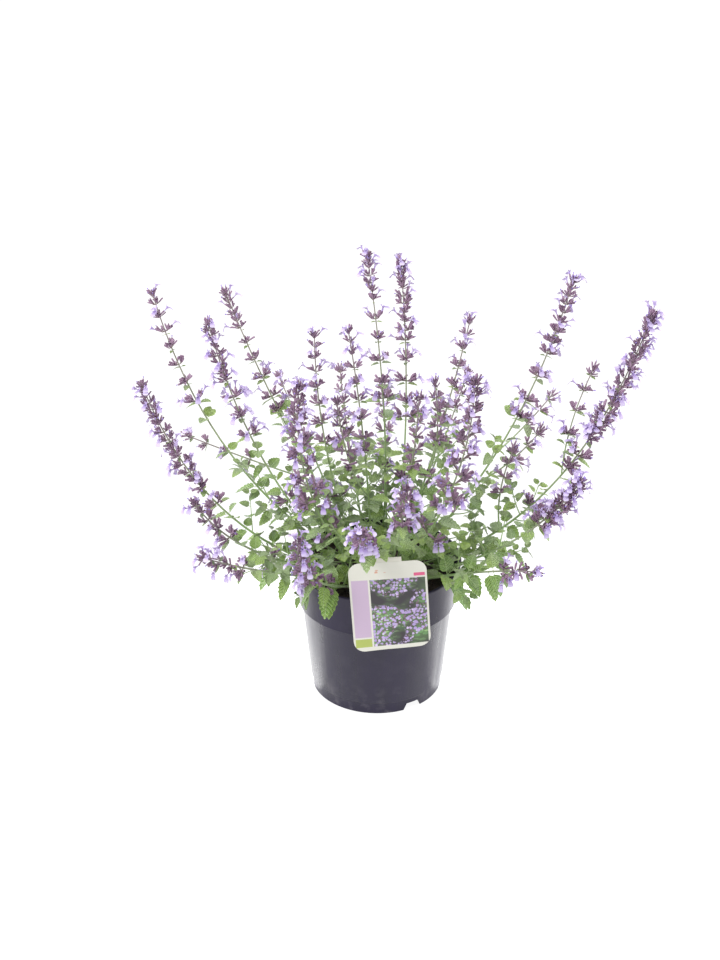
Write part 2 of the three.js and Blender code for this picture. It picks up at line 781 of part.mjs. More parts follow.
/**
 * One whorl between two rings: a net of four-cornered seats, low ones at the even columns and high ones
 * at the odd columns, out of which the calyces grow.
 */
function growWhorl(skin, shoot, k, low) {
  const size = whorlSize(shoot, k);
  const share = shoot.whorlsAt[k];
  const net = low.map((_, column) => {
    const on = CALYX.step * size * (column % 2 ? -1 : 1);
    return skin.corner(shoot.around(share, columnAngle(shoot, column), CALYX.root * size, on));
  });
  const high = ringRound(skin, shoot, share, STEM.rachis, 3 * CALYX.step * size);
  low.forEach((_, column) => {
    const back = (column + shoot.columns - 1) % shoot.columns;
    const next = (column + 1) % shoot.columns;
    const [foot, head] = column % 2 ? [net[column], high[column]] : [low[column], net[column]];
    growCalyx(skin, [foot, net[next], head, net[back]], shoot, k, column);
    if (column % 2) skin.faces.push(low[back], low[column], foot, low[column], low[next], foot);
    else skin.faces.push(head, high[next], high[column], head, high[column], high[back]);
  });
  return high;
}

/** A flower spike: a thin stem with its whorls, ending in a point. */
function spike(shoot) {
  const skin = new Skin();
  let ring = ringRound(skin, shoot, shoot.bloomFrom, STEM.rachis);
  skin.close([...ring].reverse());
  let top = shoot.bloomFrom;
  shoot.whorlsAt.forEach((share, k) => {
    const drop = 3 * CALYX.step * whorlSize(shoot, k);
    if ((share - top) * shoot.length - drop > CALYX.far) {
      ring = skin.join(ring, ringRound(skin, shoot, share, STEM.rachis, -drop));
    }
    ring = growWhorl(skin, shoot, k, ring);
    top = share + drop / shoot.length;
  });
  skin.point(ring, shoot.point(1));
  return skin.solid();
}

function beadSpike(shoot, beads) {
  shoot.whorlsAt.forEach((share, k) => {
    const reach = shoot.reach * whorlSize(shoot, k);
    beads.put(shoot.around(share, 0, 0, 0.4 * reach), 0.8 * reach, spikeOwner(shoot));
    for (let column = 0; column < shoot.columns; column += 1) {
      const flower = flowerOf(shoot, k, column);
      if (flower) beads.put(add(flower.mouth, [flower.out, FLOWER.middle]), BEAD.flower, spikeOwner(shoot));
    }
  });
}

// ---- The whole plant ----

function growShoots() {
  const shoots = [];
  SHOOTS.forEach((row, index) => {
    const parent = shoots.find((shoot) => shoot.name === row.on);
    shoots.push(new Shoot(row, index, parent));
  });
  return shoots;
}

function buildPlant(shoots) {
  const beads = new Beads();
  for (const shoot of shoots) beadStem(shoot, beads);
  for (const shoot of shoots) beadSpike(shoot, beads);
  const greens = new Map();
  for (const shoot of shoots) {
    const solid = stem(shoot, leavesOf(shoot, beads));
    const { base } = shoot;
    greens.set(base, greens.has(base) ? greens.get(base).add(solid) : solid);
  }
  const meshes = [];
  for (const [shoot, solid] of greens) meshes.push(meshOf(`${shoot.name}_stem`, solid, GREEN));
  for (const shoot of shoots) meshes.push(meshOf(`${shoot.name}_spike`, spike(shoot), PURPLE));
  return meshes;
}

const shoots = growShoots();
const catmint = new THREE.Group();
catmint.add(meshOf("pot", pot(), PLASTIC));
catmint.add(meshOf("soil", soil(shoots), PEAT));
catmint.add(meshOf("label", label(), CARD));
catmint.add(...buildPlant(shoots));

export default catmint;
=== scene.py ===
# %% [markdown]
# # A garden catmint in its nursery pot
#
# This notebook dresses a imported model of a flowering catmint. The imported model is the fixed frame:
# it has the pot, the soil, the hang label, and for each shoot a green stem and a purple spike, all at
# their real size. Here each of them gets its finer shape and its finish. Everything is in metres, with
# the middle of the flat under the pot at the origin.

# %% Load the frame
import json
import math

import bmesh
import bpy
import numpy as np
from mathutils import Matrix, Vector

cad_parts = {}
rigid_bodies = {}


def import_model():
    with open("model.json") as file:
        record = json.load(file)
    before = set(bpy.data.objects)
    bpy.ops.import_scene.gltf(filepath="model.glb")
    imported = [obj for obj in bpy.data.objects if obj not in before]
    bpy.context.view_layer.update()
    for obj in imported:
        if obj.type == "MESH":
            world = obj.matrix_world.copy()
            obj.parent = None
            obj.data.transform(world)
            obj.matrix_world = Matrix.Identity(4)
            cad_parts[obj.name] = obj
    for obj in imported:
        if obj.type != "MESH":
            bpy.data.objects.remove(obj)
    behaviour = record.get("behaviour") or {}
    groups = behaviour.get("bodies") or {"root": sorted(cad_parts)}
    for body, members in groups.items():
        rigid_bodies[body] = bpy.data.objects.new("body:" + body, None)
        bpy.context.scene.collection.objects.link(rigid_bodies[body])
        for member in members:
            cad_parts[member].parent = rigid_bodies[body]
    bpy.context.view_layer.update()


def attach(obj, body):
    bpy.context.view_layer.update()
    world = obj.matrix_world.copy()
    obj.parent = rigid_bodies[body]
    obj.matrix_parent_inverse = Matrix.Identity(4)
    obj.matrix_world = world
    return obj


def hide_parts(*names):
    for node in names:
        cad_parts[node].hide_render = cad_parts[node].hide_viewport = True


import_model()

MM = 0.001

# %% [markdown]
# The camera stands two metres in front of the plant and looks down on it a little. A long lens keeps
# the pot's sides nearly upright. It comes first, so that each piece can be looked at once it is made.

# %% Camera
SIGHT = {"distance": 2.0, "down": 27.5, "target": (-0.0195, 0, 0.260), "lens": 67.875, "sensor": 36}


def add_camera():
    """A camera that looks down on its target from the front."""
    down = math.radians(SIGHT["down"])
    x, y, z = SIGHT["target"]
    away, above = SIGHT["distance"] * math.cos(down), SIGHT["distance"] * math.sin(down)
    bpy.ops.object.camera_add(location=(x, y - away, z + above), rotation=(math.pi / 2 - down, 0, 0))
    camera = bpy.context.object
    camera.data.sensor_width, camera.data.lens = SIGHT["sensor"], SIGHT["lens"]
    bpy.context.scene.camera = camera
    return camera


bpy.ops.object.select_all(action="DESELECT")
print("camera at", [round(value, 3) for value in add_camera().location])

# %% [markdown]
# Pieces are modelled as by hand: a primitive, shaped in edit mode, with what is worked on selected first.
# These helpers do the selecting. `push` is the move used most, and it shapes a petal or a tooth: what is
# selected is extruded, resized and turned about the X axis round its own middle.

# %% Helpers for modelling
def clear():
    """Leaves edit mode, with nothing selected."""
    if bpy.context.mode != "OBJECT":
        bpy.ops.object.mode_set(mode="OBJECT")
    bpy.ops.object.select_all(action="DESELECT")


def begin(name):
    """Takes the primitive that was just added into edit mode, with nothing selected."""
    made = bpy.context.object
    made.name = made.data.name = name
    bpy.ops.object.transform_apply(location=True, rotation=True, scale=True)
    bpy.ops.object.mode_set(mode="EDIT")
    bpy.ops.mesh.select_all(action="DESELECT")
    return made


def middle_of(corners):
    return sum((corner.co for corner in corners), Vector()) / len(corners)


def pick(kind, test):
    """Selects the VERT, EDGE or FACE parts of the edited mesh whose middle passes a test."""
    bpy.ops.mesh.select_mode(type=kind)
    bpy.ops.mesh.select_all(action="DESELECT")
    shape = bmesh.from_edit_mesh(bpy.context.object.data)
    for part in {"VERT": shape.verts, "EDGE": shape.edges, "FACE": shape.faces}[kind]:
        if test(middle_of([part] if kind == "VERT" else part.verts)):
            part.select_set(True)
    bmesh.update_edit_mesh(bpy.context.object.data)


def pick_all():
    bpy.ops.mesh.select_all(action="SELECT")


def picked_middle():
    """The middle of the selected vertices."""
    shape = bmesh.from_edit_mesh(bpy.context.object.data)
    return middle_of([corner for corner in shape.verts if corner.select])


def shift(move):
    bpy.ops.transform.translate(value=move)


def resize(size, middle=(0, 0, 0)):
    bpy.ops.transform.resize(value=size, center_override=middle)


def extrude(move):
    bpy.ops.mesh.extrude_region_move(TRANSFORM_OT_translate={"value": move})


def push(move, size=(1, 1, 1), turn=0):
    """Extrudes the selection, then resizes it and turns it upwards about X, round its own middle."""
    extrude(move)
    middle = picked_middle()
    resize(size, middle)
    if turn:
        bpy.ops.transform.rotate(value=-math.radians(turn), orient_axis="X", center_override=middle)


def smooth(angle):
    bpy.ops.object.shade_smooth_by_angle(angle=math.radians(angle))


def apply_all(made):
    """Applies each modifier of an object, in order, and leaves the object selected."""
    clear()
    made.select_set(True)
    bpy.context.view_layer.objects.active = made
    for modifier in list(made.modifiers):
        bpy.ops.object.modifier_apply(modifier=modifier.name)


def seal(made):
    """Merges the doubles of a closed mesh and turns its faces outwards.

    Blender guesses which way is out, and can be wrong on a thin mesh. Its volume is then negative.
    """
    bpy.ops.object.mode_set(mode="EDIT")
    pick_all()
    bpy.ops.mesh.remove_doubles(threshold=1e-6)
    bpy.ops.mesh.normals_make_consistent(inside=False)
    if bmesh.from_edit_mesh(made.data).calc_volume(signed=True) < 0:
        bpy.ops.mesh.flip_normals()
    bpy.ops.object.mode_set(mode="OBJECT")


def close_up(made, angle):
    """Finishes a closed mesh: sealed, and smooth up to an angle."""
    seal(made)
    smooth(angle)
    print(f"{made.name}: {len(made.data.polygons)} faces")
    return made


# %% [markdown]
# A finish is a Principled shader with patterns wired into it. Patterns on leaves and petals must follow
# the shape, wherever a copy lies. So each model remembers its own flat shape in an attribute, `shape`,
# which its copies keep, and each copy is given a number of its own, `tint`, by which copies differ.

# %% Helpers for finishes
def colour(code):
    """A colour for a socket from its usual six-digit code."""
    parts = [int(code[i : i + 2], 16) / 255 for i in (0, 2, 4)]
    return (*[part / 12.92 if part <= 0.04045 else ((part + 0.055) / 1.055) ** 2.4 for part in parts], 1)


class Finish:
    """A material under construction, with short ways to add the nodes that patterns are made of."""

    def __init__(self, name, **constants):
        self.material = bpy.data.materials.new(name)
        self.material.use_nodes = True
        self.tree = self.material.node_tree
        self.shader = self.tree.nodes["Principled BSDF"]
        for socket, value in constants.items():
            self.shader.inputs[socket.replace("_", " ")].default_value = value
        print("finish:", name)

    def add(self, kind, inputs=(), **settings):
        """A node with its settings, and its inputs set to a value or joined to a socket."""
        node = self.tree.nodes.new("ShaderNode" + kind)
        for key, value in settings.items():
            setattr(node, key, value)
        for key, value in dict(inputs).items():
            if isinstance(value, bpy.types.NodeSocket):
                self.tree.links.new(value, node.inputs[key])
            else:
                node.inputs[key].default_value = value
        return node

    def math(self, operation, a, b=0.0, clamp=False):
        return self.add("Math", {0: a, 1: b}, operation=operation, use_clamp=clamp).outputs[0]

    def times(self, a, b):
        return self.math("MULTIPLY", a, b)

    def mix(self, share, a, b):
        return self.add("Mix", {0: share, 6: a, 7: b}, data_type="RGBA").outputs[2]

    def spread(self, value, low, high, to_low=0.0, to_high=1.0):
        """A value spread from one range to another, and held inside it."""
        inputs = {"Value": value, "From Min": low, "From Max": high, "To Min": to_low, "To Max": to_high}
        return self.add("MapRange", inputs).outputs[0]

    def place(self):
        """Where a point is in the plant's frame."""
        return self.add("TexCoord").outputs["Object"]

    def flat(self):
        """Where a point is on the model that its piece is a copy of."""
        return self.add("Attribute", attribute_name="shape").outputs["Vector"]

    def parts(self, vector):
        """The three coordinates of a vector."""
        return self.add("SeparateXYZ", {0: vector}).outputs

    def tint(self):
        return self.add("Attribute", attribute_name="tint").outputs["Fac"]

    def noise(self, scale, detail=2.0, vector=None):
        inputs = {"Vector": vector or self.place(), "Scale": scale, "Detail": detail}
        return self.add("TexNoise", inputs).outputs[0]

    def wire(self, socket, name):
        """Joins a socket to an input of the shader."""
        self.tree.links.new(socket, self.shader.inputs[name])

    def base(self, socket):
        self.wire(socket, "Base Color")

    def bump(self, height, distance):
        self.wire(self.add("Bump", {"Height": height, "Distance": distance}).outputs[0], "Normal")


def corners_of(made):
    """The corners of a mesh, one a row."""
    corners = np.empty(len(made.data.vertices) * 3)
    made.data.vertices.foreach_get("co", corners)
    return corners.reshape(-1, 3)


def remember(made, *finishes):
    """Gives a model its finishes and the attributes that its copies keep."""
    made.data.materials.clear()
    for finish in finishes:
        made.data.materials.append(finish.material)
    shape = made.data.attributes.new("shape", "FLOAT_VECTOR", "POINT")
    shape.data.foreach_set("vector", corners_of(made).ravel())
    made.data.attributes.new("tint", "FLOAT", "POINT")
    return made


# %% [markdown]
# ## Calyx, flower and bud
#
# A catmint calyx is a narrow ribbed tube, about nine millimetres long, with five pointed teeth. It could
# be a cone with a jagged texture, but the teeth show against the light. So it starts as a five-sided
# cylinder lying along Y. Its end is pushed out and widened, inset and sunk for the mouth, and each face of
# the rim is drawn out into a tooth. It is made one unit long, and each copy is scaled to its place.

# %% Model the calyx
STALK = 0.4  # the thin stalk before the calyx, which each copy draws out to the stem
TEETH = 5


def model_calyx():
    """A five-toothed calyx along +Y, one unit long, with its stalk behind the origin."""
    clear()
    bpy.ops.mesh.primitive_cylinder_add(
        vertices=TEETH, radius=0.05, depth=0.1, location=(0, 0.05, 0), rotation=(math.pi / 2, 0, 0)
    )
    calyx = begin("calyx")
    pick("FACE", lambda middle: middle.y > 0.09)
    push((0, 0.25, 0), (1.9, 1, 1.9))
    push((0, 0.43, 0.01), (1.25, 1, 1.2))
    bpy.ops.mesh.inset(thickness=0.028)
    push((0, -0.16, 0), (0.7, 1, 0.7))
    for tooth in range(TEETH):
        angle = 2 * math.pi * (tooth + 0.5) / TEETH
        toward = Vector((math.sin(angle), 0, math.cos(angle)))
        pick("FACE", lambda middle: middle.y > 0.775 and middle.dot(toward) > 0.05)
        push((0.03 * toward.x, 0.2, 0.03 * toward.z))
        bpy.ops.mesh.merge(type="CENTER")
    pick("FACE", lambda middle: middle.y < 0.001)
    push((0, -STALK, 0), (0.55, 1, 0.55))
    return close_up(calyx, 50)


calyx = model_calyx()

# %% [markdown]
# A calyx is wine-coloured outside, greener where it leaves its stalk, and striped by raised ribs. The
# stripes are counted round its axis, so they run along it in every copy. Fine hairs give it a soft sheen.

# %% Finish the calyx
RIBS = 15  # round the tube


def calyx_finish():
    finish = Finish("calyx_wine", Roughness=0.62, Sheen_Weight=0.15, Sheen_Roughness=0.5)
    x, y, z = finish.parts(finish.flat())
    turns = finish.times(finish.math("ARCTAN2", x, z), RIBS / 2)
    ribs = finish.math("ABSOLUTE", finish.math("SINE", turns))
    dark = finish.mix(finish.tint(), colour("663a60"), colour("8c5f84"))
    pale = finish.mix(finish.tint(), colour("b08eac"), colour("ccb2ca"))
    skin = finish.mix(finish.spread(ribs, 0.3, 1.0), pale, dark)
    foot = finish.spread(y, 0.0, 0.42, 1.0, 0.0)
    finish.base(finish.mix(finish.times(foot, 0.6), skin, colour("8f8470")))
    finish.bump(ribs, 0.0002)
    return finish


remember(calyx, calyx_finish())

# %% [markdown]
# The flower is a tube that widens to a throat, with two lips. The upper lip is two small lobes that stand
# up, and the lower one is a broad bib that hangs down, where bees land. Petals could be loose sheets, but
# thin sheets have no back and no thickness. Here the mouth of the tube is inset, so that its rim has real
# thickness, and the lips are drawn out of faces of that rim. Lengths are in millimetres for now.

# %% Model the open flower
THROAT = 4.6  # how far from the calyx its mouth is


def in_mouth(middle):
    return abs(middle.y - THROAT) < 0.01


def pick_rim(low, high):
    """Selects the faces of the mouth's rim whose bearing, in degrees up from the right, is in a range."""
    def test(middle):
        bearing = math.degrees(math.atan2(middle.z - 0.5, abs(middle.x)))
        return in_mouth(middle) and low < bearing < high and middle.xz.length > 0.3
    pick("FACE", test)


def model_flower():
    """A two-lipped flower that looks along +Y, with its mouth's upper side towards +Z."""
    clear()
    bpy.ops.mesh.primitive_cylinder_add(
        vertices=8, radius=0.45, depth=2, location=(0, -0.6, 0), rotation=(math.pi / 2, 0, 0)
    )
    flower = begin("flower")
    pick("FACE", lambda middle: middle.y > 0.3)
    push((0, 2.0, 0.15), (1.35, 1, 1.35))
    push((0, THROAT - 2.4, 0.35), (1.9, 1, 2.1))
    bpy.ops.mesh.inset(thickness=0.24)
    push((0, -1.8, -0.1), (0.6, 1, 0.6))
    pick_rim(-90, -40)
    push((0, 0.7, -0.25), (1.45, 1, 1), -35)
    push((0, 1.0, -0.9), (1.6, 1, 1), -30)
    push((0, 0.5, -1.9), (1.35, 1, 1), -15)
    push((0, 0.1, -1.7), (1.0, 1, 1), -10)
    push((0, -0.3, -0.8), (0.6, 1, 1))
    pick_rim(40, 90)
    push((0, 0.8, 0.45), (1.3, 1, 1), 30)
    for side in (-1, 1):
        pick("FACE", lambda middle: middle.y > THROAT + 0.6 and middle.z > 0.9 and middle.x * side > 0.1
             and abs(middle.y - THROAT - 0.8) < 0.15)
        push((0.45 * side, 0.55, 1.0), (1.25, 1, 1), 20)
        push((0.3 * side, 0.1, 0.9), (0.5, 1, 1), 10)
        pick("FACE", lambda middle: in_mouth(middle) and middle.x * side > 0.6 and abs(middle.z - 0.5) < 0.7)
        push((0.5 * side, 0.7, -0.3), (1, 1, 1.2))
        push((0.7 * side, 0.5, -0.3), (1, 1, 0.7))
    return close_up(flower, 60)


flower = model_flower()

# %% [markdown]
# Petals are pale violet, the tube is darker, and the bib has dark freckles near the throat. A painted
# image would have to be fitted to each lip. Here the distance along the flower and down the bib says
# where each colour goes, and that is the same on every copy.

# %% Finish the petals
def petal_finish():
    finish = Finish("petal_violet", Roughness=0.5, Sheen_Weight=0.2)
    _, y, z = finish.parts(finish.flat())
    pale = finish.mix(finish.tint(), colour("a894c8"), colour("c6b7da"))
    skin = finish.mix(finish.spread(y, -1.0, 4.5), colour("a48ac6"), pale)
    edge = finish.spread(z, -5.2, -2.4, 1.0, 0.0)
    skin = finish.mix(finish.times(edge, 0.55), skin, colour("dad2ea"))
    fleck = finish.noise(2.4, 1.0, finish.flat())
    near = finish.times(finish.spread(z, -3.4, -1.2), finish.spread(z, -0.6, -1.0))
    finish.base(finish.mix(finish.times(finish.spread(fleck, 0.52, 0.6), near), skin, colour("7a58a6")))
    return finish


remember(flower, petal_finish())

# %% [markdown]
# A flower that hasn't opened is a small darker knob that looks out of its calyx. Its folded petals are
# too small to see, so it is made from a ball, whose inner half is drawn back into the calyx.

# %% Model and finish the bud
def model_bud():
    """A closed flower along +Y, in millimetres."""
    middle_at = (0, 2.2, 0.2)
    clear()
    bpy.ops.mesh.primitive_uv_sphere_add(segments=6, ring_count=5, radius=1.0, location=middle_at)
    bud = begin("bud")
    pick("VERT", lambda middle: middle.y < 2.0)
    resize((0.6, 2.6, 0.6), middle_at)
    return close_up(bud, 180)


def bud_finish():
    finish = Finish("bud_violet", Roughness=0.55, Sheen_Weight=0.3)
    skin = finish.mix(finish.tint(), colour("6a4aa8"), colour("8f74c8"))
    tip = finish.spread(finish.parts(finish.flat())[1], 1.5, 3.2)
    finish.base(finish.mix(tip, colour("a893d8"), skin))
    return finish


bud = remember(model_bud(), bud_finish())

# %% [markdown]
# ## Leaves
#
# A catmint leaf is egg-shaped with a blunt toothed edge, and its surface is puckered between sunken veins.
# An image on a flat card would look right only from above, so the shape is modelled. A strip of faces is
# drawn out along Y, a row for each tooth and each notch, and widened row by row to the outline. Then the
# edge is pulled in at each notch, and the field between two veins is raised. All faces are split alike
# before the sheet gets its thickness, so that both sides stay level. A leaf is one unit long.

# %% Finish the leaves
VEINS = 8.0  # side veins on each half of a blade


def leaf_finish(name, dull, bright, vein, relief):
    """Leaf green between two shades, with a rib and slanting side veins in a third."""
    finish = Finish(name, Roughness=0.46, Sheen_Weight=0.18, Sheen_Roughness=0.4)
    x, y, _ = finish.parts(finish.flat())
    out = finish.math("ABSOLUTE", x)
    slant = finish.math("SUBTRACT", y, finish.times(out, 0.75))
    wave = finish.math("COSINE", finish.times(slant, 2 * math.pi * VEINS / 0.85))
    rib = finish.spread(out, 0.008, 0.022, 1.0, 0.0)
    veins = finish.math("MAXIMUM", rib, finish.spread(wave, 0.82, 0.97))
    mottle = finish.noise(420, 3.0)
    shade = finish.math("ADD", finish.tint(), finish.spread(mottle, 0.3, 0.7, -0.2, 0.2), True)
    bloom = finish.spread(finish.noise(26, 1.0), 0.42, 0.6, 0.0, 0.68)
    bloom = finish.times(bloom, finish.spread(finish.parts(finish.place())[2], 0.165, 0.22, 0.15, 1.0))
    skin = finish.mix(bloom, finish.mix(shade, dull, bright), colour("97a98a"))
    finish.base(finish.mix(finish.times(veins, 0.55), skin, vein))
    pucker = finish.math("ADD", finish.spread(wave, -1.0, 0.9, 1.0, 0.0), finish.times(mottle, 0.4))
    finish.bump(finish.times(pucker, finish.spread(rib, 0.0, 1.0, 1.0, 0.2)), relief)
    return finish


upper = leaf_finish("leaf_upper", colour("568236"), colour("a9c862"), colour("b5c896"), 0.0009)
under = leaf_finish("leaf_under", colour("7a9162"), colour("a2b47a"), colour("b0bb95"), -0.0006)

# %% Model the leaves
OUTLINE = [  # how far along the leaf each row is, and half its width there
    (0.155, 0.014), (0.19, 0.10), (0.22, 0.205), (0.27, 0.258), (0.33, 0.286), (0.40, 0.297), (0.47, 0.295),
    (0.54, 0.283), (0.61, 0.262), (0.68, 0.236), (0.75, 0.202), (0.82, 0.163), (0.89, 0.116), (0.95, 0.066),
    (0.99, 0.016),
]
SMALL_OUTLINE = [(0.14, 0.016), (0.22, 0.17), (0.36, 0.27), (0.5, 0.285), (0.64, 0.255), (0.78, 0.195),
                 (0.9, 0.115), (0.99, 0.016)]
BLADE = {"stalk": 0.013, "body": 0.012}  # half the stalk's width and the sheet's thickness
EDGE = [  # for a tooth and for a notch: how much wider, how far on and up, and how far up inside it
    (1.05, 0.012, 0.012, 0.014), (0.89, -0.01, -0.006, -0.004),
]


def pick_row(along, beside):
    """Selects the corners of one row of a leaf that are at one distance from its rib."""
    pick("VERT", lambda place: abs(place.y - along) < 1e-4 and abs(abs(place.x) - beside) < 1e-4)


def model_leaf(name, outline, across):
    """A leaf along +Y with its face towards +Z, so many faces across, with a row for each outline step."""
    clear()
    bpy.ops.mesh.primitive_grid_add(x_subdivisions=across, y_subdivisions=1, size=2)
    leaf = begin(name)
    done, wide = outline[0][0], BLADE["stalk"]
    pick("VERT", lambda middle: True)
    resize((wide, done / 2, 1))
    shift((0, done / 2, 0))
    for along, half in outline[1:]:
        pick("EDGE", lambda middle: abs(middle.y - done) < 1e-5)
        extrude((0, along - done, 0))
        resize((half / wide, 1, 1), (0, along, 0))
        done, wide = along, half
    for row, (along, half) in enumerate(outline[2:-1]):
        wider, on, up, inside = EDGE[row % 2]
        pick_row(along, half)
        resize((wider, 1, 1))
        shift((0, on, up))
        if across > 2:
            pick_row(along, half / 2)
            shift((0, 0, inside))
    pick_all()
    bpy.ops.mesh.quads_convert_to_tris(quad_method="FIXED")
    bpy.ops.mesh.normals_make_consistent(inside=False)
    if bmesh.from_edit_mesh(leaf.data).faces[0].normal.z < 0:
        bpy.ops.mesh.flip_normals()
    clear()
    remember(leaf, upper, under)
    body = leaf.modifiers.new("body", "SOLIDIFY")
    body.thickness, body.offset, body.material_offset = BLADE["body"], 0, 1
    apply_all(leaf)
    return close_up(leaf, 60)


big_leaf = model_leaf("big_leaf", OUTLINE, 4)
small_leaf = model_leaf("small_leaf", SMALL_OUTLINE, 2)

# %% [markdown]
# ## How the plant grows
#
# Each shoot follows one curve from the soil to its tip. Whorls of flowers stand on its upper part, closer
# and closer towards the tip, and pairs of leaves on its lower part, each pair square to the last. The
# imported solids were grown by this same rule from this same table, so a copy that follows it lands on its
# solid. The rule is in millimetres, and meshes are turned into metres when they are made.

# %% The rule's sizes
SOIL = {"top": 145, "rise": 3, "hole": 11}
RIM = {"radius": 95, "height": 161, "wall": 6}
LABEL = {"width": 88, "height": 110, "top": 211, "right": 10, "turn": 4, "corner": 16}
STEM = {"foot": 1.7, "narrowed": 0.92, "tip": 0.75, "branch": 1.0, "twig": (0.8, 0.4)}
CALYX = {"lowest": 0.3, "spread": 0.5, "open": 0.13}  # open: the share that holds an open flower
LEAF = {
    "stalk": 1.2, "width": 0.3, "fold": 0.22, "droop": 0.3, "lowest": 0.17, "highest": 0.94,
    "swings": (0, 0.4, -0.4, 0.8, -0.8, 0, 0.5, -0.5),
}
BEAD = {"cell": 24, "step": 5, "stem": 2.2, "leaf": 2.4, "flower": 4, "twig": 1.2}

# name, where it leaves the soil (or its parent and the share of the parent's length), knee, tip,
# flowers from which share of its length, whorls, their reach, pairs of leaves, their length
SHOOTS = [
    ("left_far", (-32, 14), (-192, 36, 247), (-245, 60, 459), 0.66, 8, 11, 3, 24),
    ("left_back", (-18, 26), (-106, 62, 285), (-170, 110, 440), 0.6, 8, 11, 3, 26),
    ("left_inner", (-34, 0), (-142, 2, 265), (-181, 10, 444), 0.58, 8, 11, 3, 26),
    ("left_low", (-44, -6), (-195, -14, 195), (-252, -20, 386), 0.5, 9, 12, 2, 24),
    ("left_front", (-38, -18), (-160, -45, 185), (-196, -70, 268), 0.62, 5, 12, 3, 28),
    ("left_corner", (-32, -30), (-140, -92, 195), (-184, -130, 236), 0.6, 5, 11, 3, 24),
    ("front_left", (-20, -42), (-89, -132, 195), (-82, -185, 285), 0.5, 7, 12, 3, 32),
    ("thick_left", (-20, -20), (-97, -58, 275), (-81, -110, 424), 0.42, 12, 15, 3, 32),
    ("middle_left", (-22, 10), (-68, 22, 290), (-69, 40, 416), 0.5, 8, 11, 3, 28),
    ("middle", (-6, 8), (-10, 12, 292), (-32, 20, 430), 0.52, 8, 10, 3, 28),
    ("tall_back", (4, 26), (20, 52, 288), (-12, 120, 480), 0.6, 8, 10, 3, 28),
    ("tall_right", (16, 12), (42, 34, 297), (25, 90, 482), 0.55, 9, 11, 3, 28),
    ("right_inner", (24, 24), (72, 46, 289), (102, 80, 417), 0.6, 6, 10, 3, 26),
    ("thick_right", (22, -22), (99, -60, 280), (96, -120, 433), 0.42, 12, 15, 3, 32),
    ("right_back", (36, 16), (161, 34, 276), (215, 90, 462), 0.6, 7, 12, 3, 28),
    ("right_far", (42, 2), (215, -5, 200), (288, -10, 462), 0.6, 10, 13, 4, 26),
    ("right_front", (38, -16), (160, -50, 190), (213, -80, 299), 0.66, 6, 13, 3, 30),
    ("right_corner", (30, -34), (118, -80, 195), (164, -150, 230), 0.66, 4, 11, 4, 32),
    ("front", (-6, -40), (-14, -112, 255), (-20, -200, 300), 0.6, 5, 12, 2, 26),
    ("front_right", (10, -38), (28, -92, 262), (28, -158, 332), 0.55, 6, 12, 3, 26),
    ("back_left", (-12, 40), (-34, 112, 250), (-43, 186, 310), 0.55, 6, 10, 3, 28),
    ("back_low", (10, 44), (14, 132, 225), (7, 215, 275), 0.55, 6, 10, 3, 28),
    ("back_corner", (-26, 36), (-76, 124, 235), (-116, 190, 300), 0.55, 6, 10, 3, 28),
    ("back_right", (26, 38), (76, 120, 235), (108, 190, 305), 0.55, 6, 10, 3, 28),
    ("left_side", ("left_back", 0.3), (-140, 74, 244), (-219, 96, 268), 0.45, 4, 9, 1, 15),
    ("centre_left", ("middle", 0.3), (-34, -20, 275), (-44, -52, 380), 0.45, 6, 11, 1, 18),
    ("centre_right", ("tall_right", 0.22), (40, -16, 275), (42, -66, 392), 0.45, 6, 11, 1, 18),
    ("inner_side", ("right_inner", 0.35), (72, 12, 290), (62, 16, 370), 0.45, 5, 10, 1, 16),
    ("far_side", ("right_far", 0.55), (208, 24, 318), (235, 34, 378), 0.3, 4, 10, 1, 14),
    ("back_side", ("right_back", 0.45), (164, 96, 270), (204, 138, 300), 0.5, 3, 9, 1, 15),
    ("low_side", ("right_back", 0.33), (150, 56, 246), (184, 62, 290), 0.5, 3, 9, 1, 16),
    ("rise_side", ("right_far", 0.3), (130, 8, 240), (150, 12, 292), 0.4, 4, 10, 1, 15),
]

# %% [markdown]
# Nothing may change from one run to the next, so there is no random generator. `chance` mixes the number
# of a shoot, an item and a purpose into an even draw from 0 to 1, which always falls the same. Each thing
# that is drawn has a purpose number of its own.

# %% Chance and directions
WORD = 0xFFFFFFFF
UP = np.array([0.0, 0.0, 1.0])


def chance(shoot, item, purpose):
    """An even draw from 0 to 1 for a shoot, an item and a purpose."""
    mix = ((shoot + 1) * 374761393 & WORD) ^ ((item + 1) * 668265263 & WORD)
    mix ^= (purpose + 1) * 974634777 & WORD
    mix = (mix ^ (mix >> 15)) * 2246822519 & WORD
    mix = (mix ^ (mix >> 13)) * 3266489917 & WORD
    return (mix ^ (mix >> 16)) / 4294967296


def unit(vector):
    return vector / np.linalg.norm(vector)


def curve_point(root, knee, tip, share):
    """A point on the curve from root to tip that bends towards a knee."""
    return (1 - share) ** 2 * root + 2 * share * (1 - share) * knee + share**2 * tip


def spoke(across, beside, angle):
    """A direction at an angle in the plane of two others that are square to each other."""
    return math.cos(angle) * across + math.sin(angle) * beside


